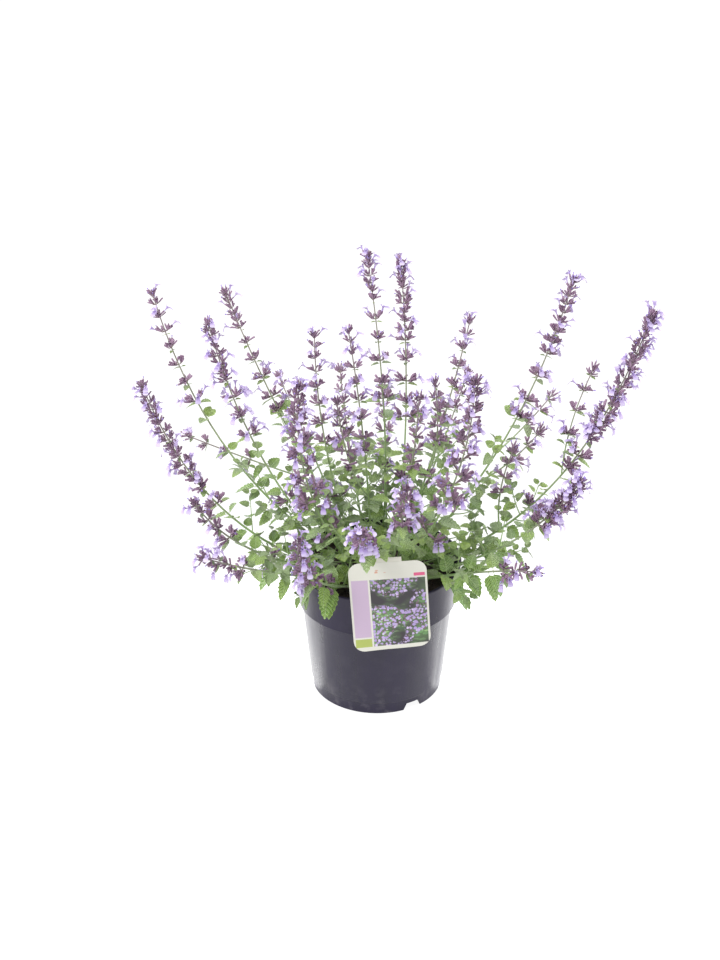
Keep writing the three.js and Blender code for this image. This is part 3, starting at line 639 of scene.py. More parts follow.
# %% One shoot
BETWEEN = 20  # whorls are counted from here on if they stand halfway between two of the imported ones


class Shoot:
    """One shoot's path, with the places of its whorls."""

    def __init__(self, row, index, grown):
        self.index = index
        self.name, start, knee, tip = row[:4]
        self.bloom_from, self.whorls, self.reach, self.leaf_pairs, self.leaf_length = row[4:]
        self.parent = grown.get(start[0])
        if self.parent:
            self.root = self.parent.point(start[1])
        else:
            self.root = np.array([*start, SOIL["top"] + SOIL["rise"] + 1], float)
        self.knee, self.tip = np.array(knee, float), np.array(tip, float)
        away = unit((self.tip - self.root) * (1, 1, 0))
        self.side = np.array([-away[1], away[0], 0])
        corners = [self.point(step / 200) for step in range(201)]
        self.length = sum(np.linalg.norm(b - a) for a, b in zip(corners, corners[1:]))
        self.columns = 6 if self.reach >= 12 else 4
        self.whorls_at = [self.whorl_share(k) for k in range(self.whorls)]

    @property
    def base(self):
        """The shoot rooted in the soil that this one grows from, or itself."""
        return self.parent.base if self.parent else self

    def whorl_share(self, k):
        along = (k + 0.35) / self.whorls
        return self.bloom_from + (1 - self.bloom_from) * (1 - (1 - along) ** 1.45)

    def whorl_place(self, k):
        """The share of its length at which a whorl is: one below the spike (-1, -2), in it or between."""
        if k >= BETWEEN:
            return (self.whorls_at[k - BETWEEN] + self.whorls_at[k - BETWEEN + 1]) / 2
        return self.whorls_at[k] if k >= 0 else pair_shares(self)[k] + 0.012

    def late(self, k):
        """How young a whorl is: 0 low on the spike, and nearly 1 at its tip."""
        return (k - BETWEEN + 0.5 if k >= BETWEEN else max(k, 0)) / self.whorls

    def whorl_size(self, k):
        return 1 - 0.5 * self.late(k) ** 1.5

    def point(self, share):
        return curve_point(self.root, self.knee, self.tip, share)

    def frame(self, share):
        """The shoot's direction at a share of its length, with two directions square to it."""
        along = unit((1 - share) * (self.knee - self.root) + share * (self.tip - self.knee))
        across = unit(np.cross(self.side, along))
        return along, across, np.cross(along, across)

    def around(self, share, angle, out, on=0):
        """A point round the shoot, at an angle, a distance out and a distance on."""
        along, across, beside = self.frame(share)
        return self.point(share) + out * spoke(across, beside, angle) + on * along

    def away(self, share, angle, lift, on=0.2):
        """A direction away from the shoot at an angle round it, raised by lift and turned on along it."""
        along, across, beside = self.frame(share)
        return spoke(across, beside, angle) + UP * lift + along * on


shoots = []
for index, row in enumerate(SHOOTS):
    shoots.append(Shoot(row, index, {shoot.name: shoot for shoot in shoots}))
print(f"{len(shoots)} shoots, {sum(shoot.length for shoot in shoots) / 1000:.1f} m of stem in all")

# %% [markdown]
# A leaf that crossed a neighbour would look wrong, and so would a bush with no leaf near another. Each
# part puts beads where it is, and a new leaf is laid down only if its own beads are clear of all others.
# A bead has an owner, because a leaf may touch the shoot that it grows from.

# %% Beads
class Beads:
    """Balls that stand for the plant's parts, found by the cell of space that they lie in."""

    def __init__(self):
        self.cells = {}

    @staticmethod
    def cell(place):
        return tuple(math.floor(value / BEAD["cell"]) for value in place)

    def put(self, place, radius, owner):
        self.cells.setdefault(self.cell(place), []).append((tuple(place), radius, owner))

    def blocked(self, place, radius, owner):
        """Whether a ball would touch one of another owner."""
        x, y, z = self.cell(place)
        for i in range(27):
            near = self.cells.get((x + i % 3 - 1, y + i // 3 % 3 - 1, z + i // 9 - 1), ())
            for other_place, other_radius, other in near:
                if other != owner and math.dist(place, other_place) < other_radius + radius:
                    return True
        return False


def meets_holder(place, radius):
    """Whether a ball would touch the pot, the soil or the label."""
    x, y, z = place
    out = math.hypot(x, y)
    if out < RIM["radius"] and z < SOIL["top"] + SOIL["rise"] + radius:
        return True
    in_wall = RIM["radius"] - RIM["wall"] - radius < out < RIM["radius"] + radius
    if in_wall and z < RIM["height"] + radius:
        return True
    in_card = abs(x - LABEL["right"]) < LABEL["width"] / 2 + 4 + radius
    before = y + RIM["radius"]
    return in_card and z < LABEL["top"] + 8 + radius and -3 - radius < before < 12 + radius


# %% Calyces and flowers of one whorl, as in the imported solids
def calyx_mouth(shoot, k, column):
    """Where the mouth of a calyx is, for one whorl and one side of the spike."""
    item = k * 8 + column
    tilt = CALYX["lowest"] + CALYX["spread"] * chance(shoot.index, item, 0) + 0.4 * shoot.late(k)
    reach = shoot.reach * shoot.whorl_size(k) * (0.82 + 0.3 * chance(shoot.index, item, 1))
    angle = 2 * math.pi * column / shoot.columns
    return shoot.around(shoot.whorl_place(k), angle, reach * math.cos(tilt), reach * math.sin(tilt))


def is_open(shoot, k, column):
    return chance(shoot.index, k * 8 + column, 2) <= CALYX["open"]


SPIKE_OWNER = 100  # a spike's beads have this number and its shoot's as their owner
LEAF_OWNER = 1000  # and a smaller leaf's have this one and the leaf's own

beads = Beads()
for shoot in shoots:
    count = math.ceil(shoot.length / BEAD["step"])
    for i in range(count + 1):
        owner = shoot.base.index if i / count < shoot.bloom_from else SPIKE_OWNER + shoot.index
        beads.put(shoot.point(i / count), BEAD["stem"], owner)
for shoot in shoots:
    owner = SPIKE_OWNER + shoot.index
    for k, share in enumerate(shoot.whorls_at):
        reach = shoot.reach * shoot.whorl_size(k)
        beads.put(shoot.around(share, 0, 0, 0.4 * reach), 0.8 * reach, owner)
        for column in range(shoot.columns):
            if is_open(shoot, k, column):
                mouth = calyx_mouth(shoot, k, column)
                beads.put(mouth + 5 * unit(mouth - shoot.point(share)), BEAD["flower"], owner)
print(sum(len(held) for held in beads.cells.values()), "beads for stems and spikes")


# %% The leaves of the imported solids
def leaf_point(leaf, along, beside):
    """A point of a leaf: along it, and out from its rib as a share of its width."""
    wide = leaf["length"] * LEAF["width"] * beside
    place = leaf["base"] + leaf["out"] * leaf["length"] * along
    place = place - UP * LEAF["droop"] * leaf["length"] * along**2
    return place + np.cross(leaf["face"], leaf["out"]) * wide + leaf["face"] * LEAF["fold"] * abs(wide)


def leaf_spots(leaf):
    """Where a leaf's beads go."""
    rows = [(along, beside) for along in (0.3, 0.5, 0.7) for beside in (-0.8, 0, 0.8)]
    return [leaf_point(leaf, *row) for row in [*rows, (0.92, 0)]]


def new_leaf(base, out, length):
    """A leaf that grows from a point, with its face as level as its direction lets it be."""
    out = unit(out)
    return {"base": base, "out": out, "face": unit(UP - out * out[2]), "length": length}


def pair_shares(shoot):
    """The shares of a shoot's length at which its leaf pairs stand."""
    rise = (LEAF["highest"] - LEAF["lowest"]) / max(shoot.leaf_pairs - 1, 1)
    lowest = LEAF["lowest"] if shoot.leaf_pairs > 1 else LEAF["highest"]
    return [shoot.bloom_from * (lowest + rise * pair) for pair in range(shoot.leaf_pairs)]


def leaf_try(shoot, item, attempt):
    """Where one leaf of a pair would lie on one of several tries, each turned or smaller."""
    pair, hand = item // 2, item % 2
    share = pair_shares(shoot)[pair]
    swing = LEAF["swings"][attempt] + 0.5 * (chance(shoot.index, item, 4) - 0.5)
    angle = math.pi / 2 * ((pair + hand * 2) % 4 + 1) + swing
    late = attempt > 4
    lift = 0.1 + 0.5 * chance(shoot.index, item, 5) + (0.3 if late else 0)
    size = 1 - 0.4 * pair / shoot.leaf_pairs + 0.2 * (chance(shoot.index, item, 6) - 0.5)
    length = shoot.leaf_length * LEAF["stalk"] * size * (0.8 if late else 1)
    return new_leaf(shoot.point(share), shoot.away(share, angle, lift, 0.15), length)


def lay(leaf, owner, gap, edge=1):
    """Puts a leaf's beads down if all are clear, and says whether it did."""
    spots = leaf_spots(leaf)
    if any(meets_holder(spot, edge) or beads.blocked(spot, gap, owner) for spot in spots):
        return False
    for spot in spots:
        beads.put(spot, gap, owner)
    return True


leaves = {shoot.name: [] for shoot in shoots}


def leaf_count():
    return sum(map(len, leaves.values()))


for shoot in shoots:
    for item in range(shoot.leaf_pairs * 2):
        tries = (leaf_try(shoot, item, attempt) for attempt in range(len(LEAF["swings"])))
        found = next((leaf for leaf in tries if lay(leaf, shoot.base.index, BEAD["leaf"])), None)
        if found:
            leaves[shoot.base.name].append(found)
print(leaf_count(), "leaves of the packed solids")

# %% [markdown]
# ## Filling the bush
#
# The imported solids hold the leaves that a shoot's outline needs. A real catmint has more: pairs between
# those, tufts of young leaves where a leaf meets its stem, short leafy twigs low down, and small leaves
# under the lower whorls. They could be scattered at random, but they would float. So each grows from a
# point of a stem. All but the leaves under whorls are laid down only where they are clear of everything
# else, and where the bush is open, high and far out, many are left away. Many shoots also have one or two
# whorls of flowers below their spike, above leaf pairs.

# %% Whorls below the spikes
def low_whorls(shoot):
    """The whorls of a shoot that stand above its upper pairs of leaves, below its spike."""
    share = 0.85 if abs(shoot.tip[0]) < 130 else 0.4
    low = [] if shoot.parent else range(-min(2, shoot.leaf_pairs - 1), 0)
    return [k for k in low if chance(shoot.index, k, 43) < share]


for shoot in shoots:
    for k in low_whorls(shoot):
        middle = shoot.around(shoot.whorl_place(k), 0, 0, 0.4 * shoot.reach)
        beads.put(middle, 0.7 * shoot.reach, SPIKE_OWNER + shoot.index)
print(sum(len(low_whorls(shoot)) for shoot in shoots), "whorls below the spikes")

# %% Smaller leaves
FILL = {  # open: the height and the distance out from which the bush is open
    "pairs": 4, "tufts": 3, "twigs": 6, "open": (236, 150), "thinned": (0.5, 0.7, 0.4), "wide": 150,
    "bract": (17, 12, 9, 7, 5),
}
LUSH = {  # how many more pairs and twigs some shoots have
    "right_back": 5, "right_far": 5, "right_front": 2, "thick_right": 4, "right_inner": 3,
    "left_inner": 5, "left_back": 4,
}
PAIR, TUFT, TWIG = range(3)


def thinned(shoot, place, item, kind):
    """Whether one more pair, tuft or twig is left away, high or far out in the open bush."""
    high, far = place[2] > FILL["open"][0], math.hypot(place[0], place[1]) > FILL["open"][1]
    return (high or far) and chance(shoot.index, item, 25 + kind) < FILL["thinned"][kind]


def add_leaf(shoot, base, out, length, clear_of=0.06):
    """Grows one more leaf where it is clear of all else, and says whether it did."""
    leaf = new_leaf(base, out, length)
    roll = 1.5 * (chance(shoot.index, len(leaves[shoot.base.name]), 19) - 0.5)
    leaf["face"] = leaf["face"] * math.cos(roll) + np.cross(leaf["out"], leaf["face"]) * math.sin(roll)
    laid = lay(leaf, LEAF_OWNER + leaf_count(), clear_of * length, 0.6)
    if laid:
        leaves[shoot.base.name].append(leaf)
    return laid


def turn_of(item, first=0):
    """The angle of a leaf round its stem, in pairs of opposite leaves that each stand square to the last."""
    return first + math.pi / 2 * (item // 2 % 2) + math.pi * (item % 2)


def add_pairs(shoot):
    """More pairs of leaves between those that the shoot has."""
    more = (2 if abs(shoot.tip[0]) > FILL["wide"] else 0) + LUSH.get(shoot.name, 0) // 2
    pairs = 1 if shoot.parent else FILL["pairs"] + more
    for item in range(pairs * 2):
        share = shoot.bloom_from * (0.24 + 0.7 * (item // 2 + 0.5) / pairs)
        if thinned(shoot, shoot.point(share), item, PAIR):
            continue
        angle = turn_of(item) + 0.8
        length = shoot.leaf_length * (1.0 - 0.45 * share) * (0.8 + 0.4 * chance(shoot.index, item, 20))
        lift = 0.1 + 0.6 * chance(shoot.index, item, 21)
        for swing in (0, 0.5, -0.5, 1.0, -1.0):
            if add_leaf(shoot, shoot.point(share), shoot.away(share, angle + swing, lift), length, 0.075):
                break


def add_tufts(shoot):
    """Young leaves in the angle between each large leaf and its stem."""
    nodes = pair_shares(shoot)
    for item in range(len(nodes) * 2 * FILL["tufts"]):
        share = nodes[item // (2 * FILL["tufts"])] + 0.012
        hand = item // FILL["tufts"] % 2
        angle = math.pi * hand + 2.4 * (chance(shoot.index, item, 22) - 0.5) + 0.6 * (item // 6)
        lift = 0.3 + 1.0 * chance(shoot.index, item, 23)
        length = 8 + 10 * chance(shoot.index, item, 24)
        if not thinned(shoot, shoot.point(share), item, TUFT):
            add_leaf(shoot, shoot.point(share), shoot.away(share, angle, lift), length)


for shoot in shoots:
    add_pairs(shoot)
for shoot in shoots:
    add_tufts(shoot)
print(leaf_count(), "leaves with the smaller ones")


# %% Leafy twigs
def twigs_of(shoot):
    """How many twigs a shoot may have."""
    return 0 if shoot.parent else FILL["twigs"] + LUSH.get(shoot.name, 0)


class Twig:
    """A short leafy side stem, low on a shoot."""

    def __init__(self, shoot, item):
        self.shoot = shoot
        share = shoot.bloom_from * (0.12 + 0.6 * (item + chance(shoot.index, item, 30)) / twigs_of(shoot))
        angle = 2.4 * item + 6 * chance(shoot.index, item, 31)
        length = 26 + 34 * chance(shoot.index, item, 32)
        out = unit(shoot.away(share, angle, 0.5))
        self.root = shoot.point(share)
        self.knee = self.root + 0.6 * length * out
        self.tip = self.root + length * unit(out + UP * 0.35)
        self.turn = 3 * chance(shoot.index, item, 33)
        self.spots = [self.point(share) for share in (0.4, 0.7, 1.0)]

    def point(self, share):
        return curve_point(self.root, self.knee, self.tip, share)

    def is_clear(self):
        radius, owner = BEAD["twig"], self.shoot.base.index
        return not any(
            meets_holder(spot, radius) or beads.blocked(spot, radius, owner) for spot in self.spots
        )

    def grow_leaves(self):
        """Three pairs and a tuft at the tip, smaller and smaller."""
        along = unit(self.tip - self.root)
        across = unit(np.cross(along, (0.3, 0.2, 1.0)))
        beside = np.cross(along, across)
        grown = 0
        for item in range(8):
            share = (0.35, 0.62, 0.85, 0.98)[item // 2]
            out = spoke(across, beside, turn_of(item, self.turn)) + along * (0.35 + 0.5 * share) + UP * 0.1
            grown += add_leaf(self.shoot, self.point(share), out, 25 - 13 * share)
        return grown


twigs = []
for shoot in shoots:
    for item in range(twigs_of(shoot)):
        twig = Twig(shoot, item)
        if not thinned(shoot, twig.tip, item, TWIG) and twig.is_clear() and twig.grow_leaves():
            twigs.append(twig)
            for spot in twig.spots:
                beads.put(spot, BEAD["twig"], shoot.base.index)
print(len(twigs), "twigs,", leaf_count(), "leaves")


# %% Leaves under the whorls
def add_bracts(shoot):
    """The pair of small leaves under each of a spike's lower whorls."""
    for k, length in enumerate(FILL["bract"][: shoot.whorls]):
        for hand in (0, 1):
            angle = turn_of(2 * k + hand) + 0.3 * (chance(shoot.index, k, 40) - 0.5)
            size = 0.85 + 0.3 * chance(shoot.index, k * 2 + hand, 41)
            share = shoot.whorl_place(k) - 0.008
            out = shoot.away(share, angle, 0.1 - 0.3 * chance(shoot.index, k * 2 + hand, 42))
            leaves[shoot.base.name].append(new_leaf(shoot.point(share), out, length * size))


for shoot in shoots:
    add_bracts(shoot)
print(leaf_count(), "leaves in all")

# %% [markdown]
# ## Putting the copies in place
#
# Every copy has its own mesh, whose corners are moved one by one. That lets a leaf droop and a calyx
# curve, which turning and scaling alone can't do. The copies of one shoot are then joined into one piece.

# %% Copy, place and join
def set_corners(made, corners):
    """Puts the corners of a mesh at places in millimetres."""
    made.data.vertices.foreach_set("co", (corners * MM).ravel())


def set_tint(made, tint):
    made.data.attributes["tint"].data.foreach_set("value", tint)


def place_copy(model, put, tint):
    """A copy of a model. `put` maps its corners to millimetres in the plant's frame."""
    copy = model.copy()
    copy.data = model.data.copy()
    shape = corners_of(model)
    set_corners(copy, put(shape))
    set_tint(copy, np.full(len(shape), tint))
    bpy.context.collection.objects.link(copy)
    return copy


def join(name, parts):
    """Joins parts into one piece."""
    clear()
    for part in parts:
        part.select_set(True)
    bpy.context.view_layer.objects.active = parts[0]
    bpy.ops.object.join()
    piece = bpy.context.object
    piece.name = piece.data.name = name
    return piece


def square_to(direction):
    """Two directions square to one, the second as near to upwards as it can be."""
    hint = UP if abs(direction @ UP) <= 0.98 else np.array([0.0, -1.0, 0.0])
    beside = unit(np.cross(direction, hint))
    return beside, np.cross(beside, direction)


def axes(shape, scale=1):
    return (shape[:, i : i + 1] * scale for i in range(3))


def put_leaf(leaf):
    """Where the corners of a leaf's copy go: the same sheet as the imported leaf."""
    across = np.cross(leaf["out"], leaf["face"])

    def put(shape):
        x, y, z = axes(shape, leaf["length"])
        droop = LEAF["droop"] * y * y / leaf["length"]
        raised = leaf["face"] * (z + LEAF["fold"] * abs(x))
        return leaf["base"] + leaf["out"] * y - UP * droop + across * x + raised
    return put


def put_calyx(root, start, mouth, curl, width):
    """Where the corners of a calyx go, between its start and its mouth, with its stalk from the stem."""
    length = np.linalg.norm(mouth - start)
    direction = (mouth - start) / length
    beside, over = square_to(direction)

    def put(shape):
        x, y, z = axes(shape)
        behind = np.clip(-y / STALK, 0, 1)
        on = np.clip(y, 0, None)
        middle = start + direction * length * on + (root - start) * behind
        bow = over * curl * length * 4 * np.clip(on * (1 - on), -0.2, 1)
        return middle + bow + (beside * x + over * z) * length * width
    return put


def put_petals(mouth, out, size):
    """Where the corners of a flower or a bud go, at the mouth of its calyx."""
    beside, over = square_to(out)

    def put(shape):
        x, y, z = axes(shape, size)
        return mouth + out * y + beside * x + over * z
    return put


# %% [markdown]
# ## Spikes
#
# A catmint spike is a row of whorls, each of two opposite clusters of calyces. Most are empty or in bud,
# and only a few hold an open flower at one time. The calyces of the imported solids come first, each at the
# mouth that the rule gives. More fill both clusters, in fans that turn by a right angle at each whorl.

# %% Calyces of a whorl
WHORL = {"calyx": 10.2, "wide": 1.3, "extra": (8, 6), "open": 0.125, "bud": 0.14, "stalk": (1.2, 2.6)}
TIP = {"share": 0.985, "calyces": 6, "bud": 0.45}
DENSE = {  # how much fuller some spikes are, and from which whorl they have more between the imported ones
    "thick_left": (1.6, 20), "thick_right": (1.6, 20), "right_far": (1.5, 1), "tall_right": (1.35, 3),
    "tall_back": (1.15, 4), "left_back": (0.8, 4), "left_inner": (1.2, 3), "left_low": (1.1, 1),
    "right_back": (1.2, 2), "right_front": (1.4, 0),
}


def dense(shoot):
    return DENSE.get(shoot.name, (1, BETWEEN))


def draws(shoot, item, *purposes):
    return [chance(shoot.index, item, purpose) for purpose in purposes]


def whorls_of(shoot):
    """All whorls of a shoot, as the numbers that its methods take."""
    between = range(BETWEEN + dense(shoot)[1], BETWEEN + shoot.whorls - 1)
    return [*low_whorls(shoot), *range(shoot.whorls), *between]


def fan_foot(shoot, k, hand):
    """Where one of a whorl's two opposite fans parts, at the end of a short stalk off the stem."""
    early = 1 - shoot.late(k)
    out = WHORL["stalk"][0] + WHORL["stalk"][1] * early * shoot.reach / 12
    out *= 1 + (1.6 * early if shoot.reach > 14 else 0)
    return shoot.around(shoot.whorl_place(k), turn_of(2 * k + hand), out, 0.3 * out)


def fan_mouths(shoot, k):
    """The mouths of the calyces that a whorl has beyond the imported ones, in two opposite fans."""
    late, fuller = shoot.late(k), dense(shoot)[0]
    many = WHORL["extra"][0 if shoot.columns == 6 else 1] * fuller
    many = max(2, round(many * (1.15 - 0.6 * late)))
    along, across, beside = shoot.frame(shoot.whorl_place(k))
    found = []
    for item in range(many * 2):
        hand = item % 2
        round_stem, rise, size = draws(shoot, 100 + k * 20 + item, 50, 51, 52)
        angle = turn_of(2 * k + hand) + 2.5 * (round_stem - 0.5)
        tilt = 0.05 + 1.0 * rise + 0.4 * late
        length = WHORL["calyx"] * (0.85 + 0.25 * size) * (1 - 0.3 * late)
        step = along * (7 * (size - 0.5) if fuller > 1.3 else 0)
        out = spoke(across, beside, angle) * math.cos(tilt) + along * math.sin(tilt)
        found.append(fan_foot(shoot, k, hand) + step + length * out)
    return found


def tip_mouths(shoot):
    """The mouths of the youngest calyces, slender and steep, which end the spike."""
    found = []
    for item in range(TIP["calyces"]):
        size, rise = draws(shoot, 700 + item, 55, 56)
        length, tilt = 7 + 5 * size, 0.9 + 0.5 * rise
        found.append(shoot.around(TIP["share"], 2.4 * item, length * math.cos(tilt), length * math.sin(tilt)))
    return found


def whorl_mouths(shoot, k):
    """Each mouth of a whorl, with the foot of its fan and whether it holds an open flower."""
    feet = [fan_foot(shoot, k, hand) for hand in (0, 1)]
    mouths = [(calyx_mouth(shoot, k, column), is_open(shoot, k, column)) for column in range(shoot.columns)]
    for item, mouth in enumerate(fan_mouths(shoot, k)):
        mouths.append((mouth, chance(shoot.index, 300 + k * 20 + item, 54) < WHORL["open"]))
    return [(mouth, min(feet, key=lambda foot: math.dist(foot, mouth)), opened) for mouth, opened in mouths]


# %% Build one spike
def build_spike(shoot):
    """All calyces, flowers and buds of one spike, as one piece."""
    parts = []
    rows = [(shoot.whorl_place(k), k, whorl_mouths(shoot, k)) for k in whorls_of(shoot)]
    tip = shoot.point(TIP["share"])
    rows.append((TIP["share"], shoot.whorls, [(mouth, tip, False) for mouth in tip_mouths(shoot)]))
    for share, k, mouths in rows:
        centre = shoot.point(share)
        bud_share = TIP["bud"] if k == shoot.whorls else WHORL["bud"]
        for item, (mouth, foot, opened) in enumerate(mouths):
            size, nod, curl, shade, droop, tint = draws(shoot, 500 + k * 24 + item, *range(60, 66))
            out = unit(mouth - foot)
            length = min(WHORL["calyx"] * (0.85 + 0.2 * size), 0.93 * np.linalg.norm(mouth - foot))
            start = mouth - unit(out + UP * 0.3 * (nod - 0.4)) * length
            width = WHORL["wide"] * (1 - 0.25 * shoot.late(k))
            put = put_calyx(centre, start, mouth, -0.05 + 0.16 * curl, width)
            parts.append(place_copy(calyx, put, shade))
            ahead = unit(out + UP * 0.15 - UP * 0.5 * droop * out[2])
            if opened:
                put = put_petals(mouth, ahead, 0.9 + 0.3 * shoot.whorl_size(k))
                parts.append(place_copy(flower, put, tint))
            elif droop < bud_share:
                parts.append(place_copy(bud, put_petals(mouth, ahead, 0.6 + 0.45 * tint), tint))
    return join(shoot.name + "_flowers", parts)


spikes = {shoot.name: build_spike(shoot) for shoot in shoots}
print(len(spikes), "spikes,", sum(len(piece.data.polygons) for piece in spikes.values()), "faces")

# %% [markdown]
# ## Stems
#
# Catmint stems are square with rounded edges and thin out towards the tip. A bevelled curve keeps its
# section even round every bend, so each shoot is a Bezier curve with a small rounded square swept along
# it, which is then made a mesh. The square is a circle of eight corners with every other one pulled in.

# %% Sweep a stem
SWEEP = {"section": 8, "pulled": 0.82, "shoot": 20, "twig": 8}  # the last two are steps along a stem


def model_section():
    """A rounded square, as a curve to sweep along a stem."""
    clear()
    bpy.ops.mesh.primitive_circle_add(vertices=SWEEP["section"], radius=1)
    begin("section")
    pick("VERT", lambda middle: round(math.degrees(math.atan2(middle.y, middle.x)) / 45) % 2 == 0)
    resize((SWEEP["pulled"], SWEEP["pulled"], 1))
    bpy.ops.object.mode_set(mode="OBJECT")
    bpy.ops.object.convert(target="CURVE")
    return bpy.context.object


section = model_section()


def sweep(name, places, radii, steps):
    """A stem through places, each given with the handles before and after it, in millimetres."""
    clear()
    bpy.ops.curve.primitive_bezier_curve_add()
    curve = bpy.context.object.data
    points = curve.splines[0].bezier_points
    points.add(len(places) - 2)
    for point, handles, radius in zip(points, places, radii):
        point.handle_left_type = point.handle_right_type = "FREE"
        point.handle_left, point.co, point.handle_right = (Vector(corner * MM) for corner in handles)
        point.radius = radius * MM
    curve.bevel_mode, curve.bevel_object = "OBJECT", section
    curve.resolution_u, curve.use_fill_caps = steps, True
    bpy.ops.object.convert(target="MESH")
    stem = bpy.context.object
    stem.name = name
    seal(stem)
    return stem


# %% Stem finish
def stem_finish():
    """Green low down, with wine showing through towards the flowers, and finely flecked and downy."""
    finish = Finish("stem_skin", Roughness=0.6, Sheen_Weight=0.3)
    flecks = finish.noise(260, 3.0)
    low = finish.mix(flecks, colour("7c9a5a"), colour("94ad74"))
    high = finish.mix(flecks, colour("83806f"), colour("8d7488"))
    finish.base(finish.mix(finish.spread(finish.tint(), 0.35, 0.95), low, high))
    finish.bump(flecks, 0.0002)
    return finish


bark = stem_finish()


def dress_stem(stem, root, reach, low=0.0, high=1.0):
    """Gives a swept stem its finish, and a tint that goes from low to high over its reach."""
    remember(stem, bark)
    far = np.linalg.norm(corners_of(stem) / MM - root, axis=1) / reach
    set_tint(stem, low + (high - low) * np.clip(far, 0, 1))
    clear()
    bpy.context.view_layer.objects.active = stem
    stem.select_set(True)
    smooth(60)
    return stem


def handle_of(end, knee):
    """The Bezier handle at an end of a curve that bends towards a knee."""
    return end + (knee - end) * 2 / 3


def stem_of(shoot):
    """One shoot's stem, from under the soil or from its parent to its tip."""
    root, tip, handle = shoot.root, shoot.tip, handle_of(shoot.root, shoot.knee)
    places = [(root, root, handle), (handle_of(tip, shoot.knee), tip, tip)]
    radii = [STEM["branch"], STEM["tip"]]
    if shoot.parent is None:
        foot = root * (1, 1, 0) + UP * (SOIL["top"] - SOIL["hole"] + 1)
        places = [(foot, foot, foot + UP * 4), (root - UP * 4, root, handle), places[1]]
        radii = [STEM["foot"], STEM["foot"] * STEM["narrowed"], STEM["tip"]]
    stem = sweep(shoot.name + "_bare", places, radii, SWEEP["shoot"])
    return dress_stem(stem, root, np.linalg.norm(tip - root), 0.3 if shoot.parent else 0.0)


def twig_stem(twig):
    root, tip = twig.root, twig.tip
    places = [(root, root, handle_of(root, twig.knee)), (handle_of(tip, twig.knee), tip, tip)]
    return dress_stem(sweep("twig", places, STEM["twig"], SWEEP["twig"]), root, 1.0, 0.1, 0.2)


# %% [markdown]
# A leafy stem is its swept stem with its side stems and twigs, and all their leaves joined to it. Leaves
# low in the bush are darker, so their tint falls with depth, with some chance of its own.

# %% Build the leafy stems
LARGE = 15  # leaves longer than this are copies of the big model


def build_foliage(shoot):
    """The stem of one shoot, its side stems, twigs and leaves, as one piece."""
    parts = [stem_of(member) for member in shoots if member.base is shoot]
    parts += [twig_stem(twig) for twig in twigs if twig.shoot is shoot]
    for item, leaf in enumerate(leaves[shoot.name]):
        model = big_leaf if leaf["length"] > LARGE else small_leaf
        height = (leaf["base"][2] - SOIL["top"]) / 200
        tint = np.clip(0.12 + 0.35 * height + 0.75 * chance(shoot.index, item, 70), 0, 1)
        parts.append(place_copy(model, put_leaf(leaf), tint))
    return join(shoot.name + "_foliage", parts)


foliage = {shoot.name: build_foliage(shoot) for shoot in shoots if shoot.parent is None}
print(len(foliage), "leafy stems,", sum(len(piece.data.polygons) for piece in foliage.values()), "faces")

# %% [markdown]
# Each piece rides on the plant's one body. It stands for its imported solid, which isn't shown any more.

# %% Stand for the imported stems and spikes
for name, piece in foliage.items():
    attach(piece, "root")
    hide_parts(name + "_stem")
for name, piece in spikes.items():
    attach(piece, "root")
    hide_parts(name + "_spike")
print(len(foliage) + len(spikes), "packed solids replaced")

# %% [markdown]
# ## Pot
#
# The nursery pot is one thin moulding: a wall that widens upwards, a flared collar whose lower edge
# shows as a line, and a foot ring with three drain notches. It is round, so its profile is drawn once as a
# chain of points and spun about Z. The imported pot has 28 flat sides, and this one has 96, which look round.
# The notches are cut by a Boolean with solid cutters, because a spun profile can't have an opening.

# %% Spin a profile
POT_PROFILE = [
    (0, 0), (50.5, 0), (52, 0.6), (55, 9.5), (55.5, 10), (72, 10), (72.5, 9.5), (72.5, 0.5), (73, 0),
    (74, 0), (74.5, 0.5), (75, 13.6), (75.3, 14.2), (76.2, 14.7), (76.6, 15.4), (85.9, 111.4),
    (86.3, 112), (89.6, 112.2), (90.1, 112.7), (94.9, 158.6), (95.2, 159.6), (94.9, 160.6), (94.2, 161),
    (93, 161), (92.5, 160.6), (88, 115), (84, 112), (74, 12.5), (53, 12.5), (50, 2.5), (0, 2.5),
]
FOOT = 74.5  # the foot ring's outer radius
NOTCH = {"count": 3, "bearing": -57.5, "bottom": 24, "top": 15, "height": 8.5, "inside": 8, "hole": 13}


def spin_profile(name, profile, steps):
    """A closed round piece from its profile, as (radius, height) pairs in millimetres."""
    clear()
    bpy.ops.mesh.primitive_plane_add(size=1)
    made = begin(name)
    pick_all()
    bpy.ops.mesh.delete(type="EDGE_FACE")
    pick("VERT", lambda middle: middle.x < 0 or middle.y < 0)
    bpy.ops.mesh.delete(type="VERT")
    pick("VERT", lambda middle: True)
    at = picked_middle()
    for radius, height in profile:
        place = Vector((radius * MM, 0, height * MM))
        if (radius, height) == profile[0]:
            shift(place - at)
        else:
            bpy.ops.mesh.extrude_vertices_move(TRANSFORM_OT_translate={"value": place - at})
        at = place
    pick_all()
    bpy.ops.mesh.spin(steps=steps, angle=2 * math.pi, center=(0, 0, 0), axis=(0, 0, 1))
    pick_all()
    bpy.ops.mesh.remove_doubles(threshold=2e-5)
    bpy.ops.mesh.normals_make_consistent(inside=False)
    clear()
    return made


pot = spin_profile("nursery_pot", POT_PROFILE, 96)
print("pot:", len(pot.data.polygons), "faces before its notches")


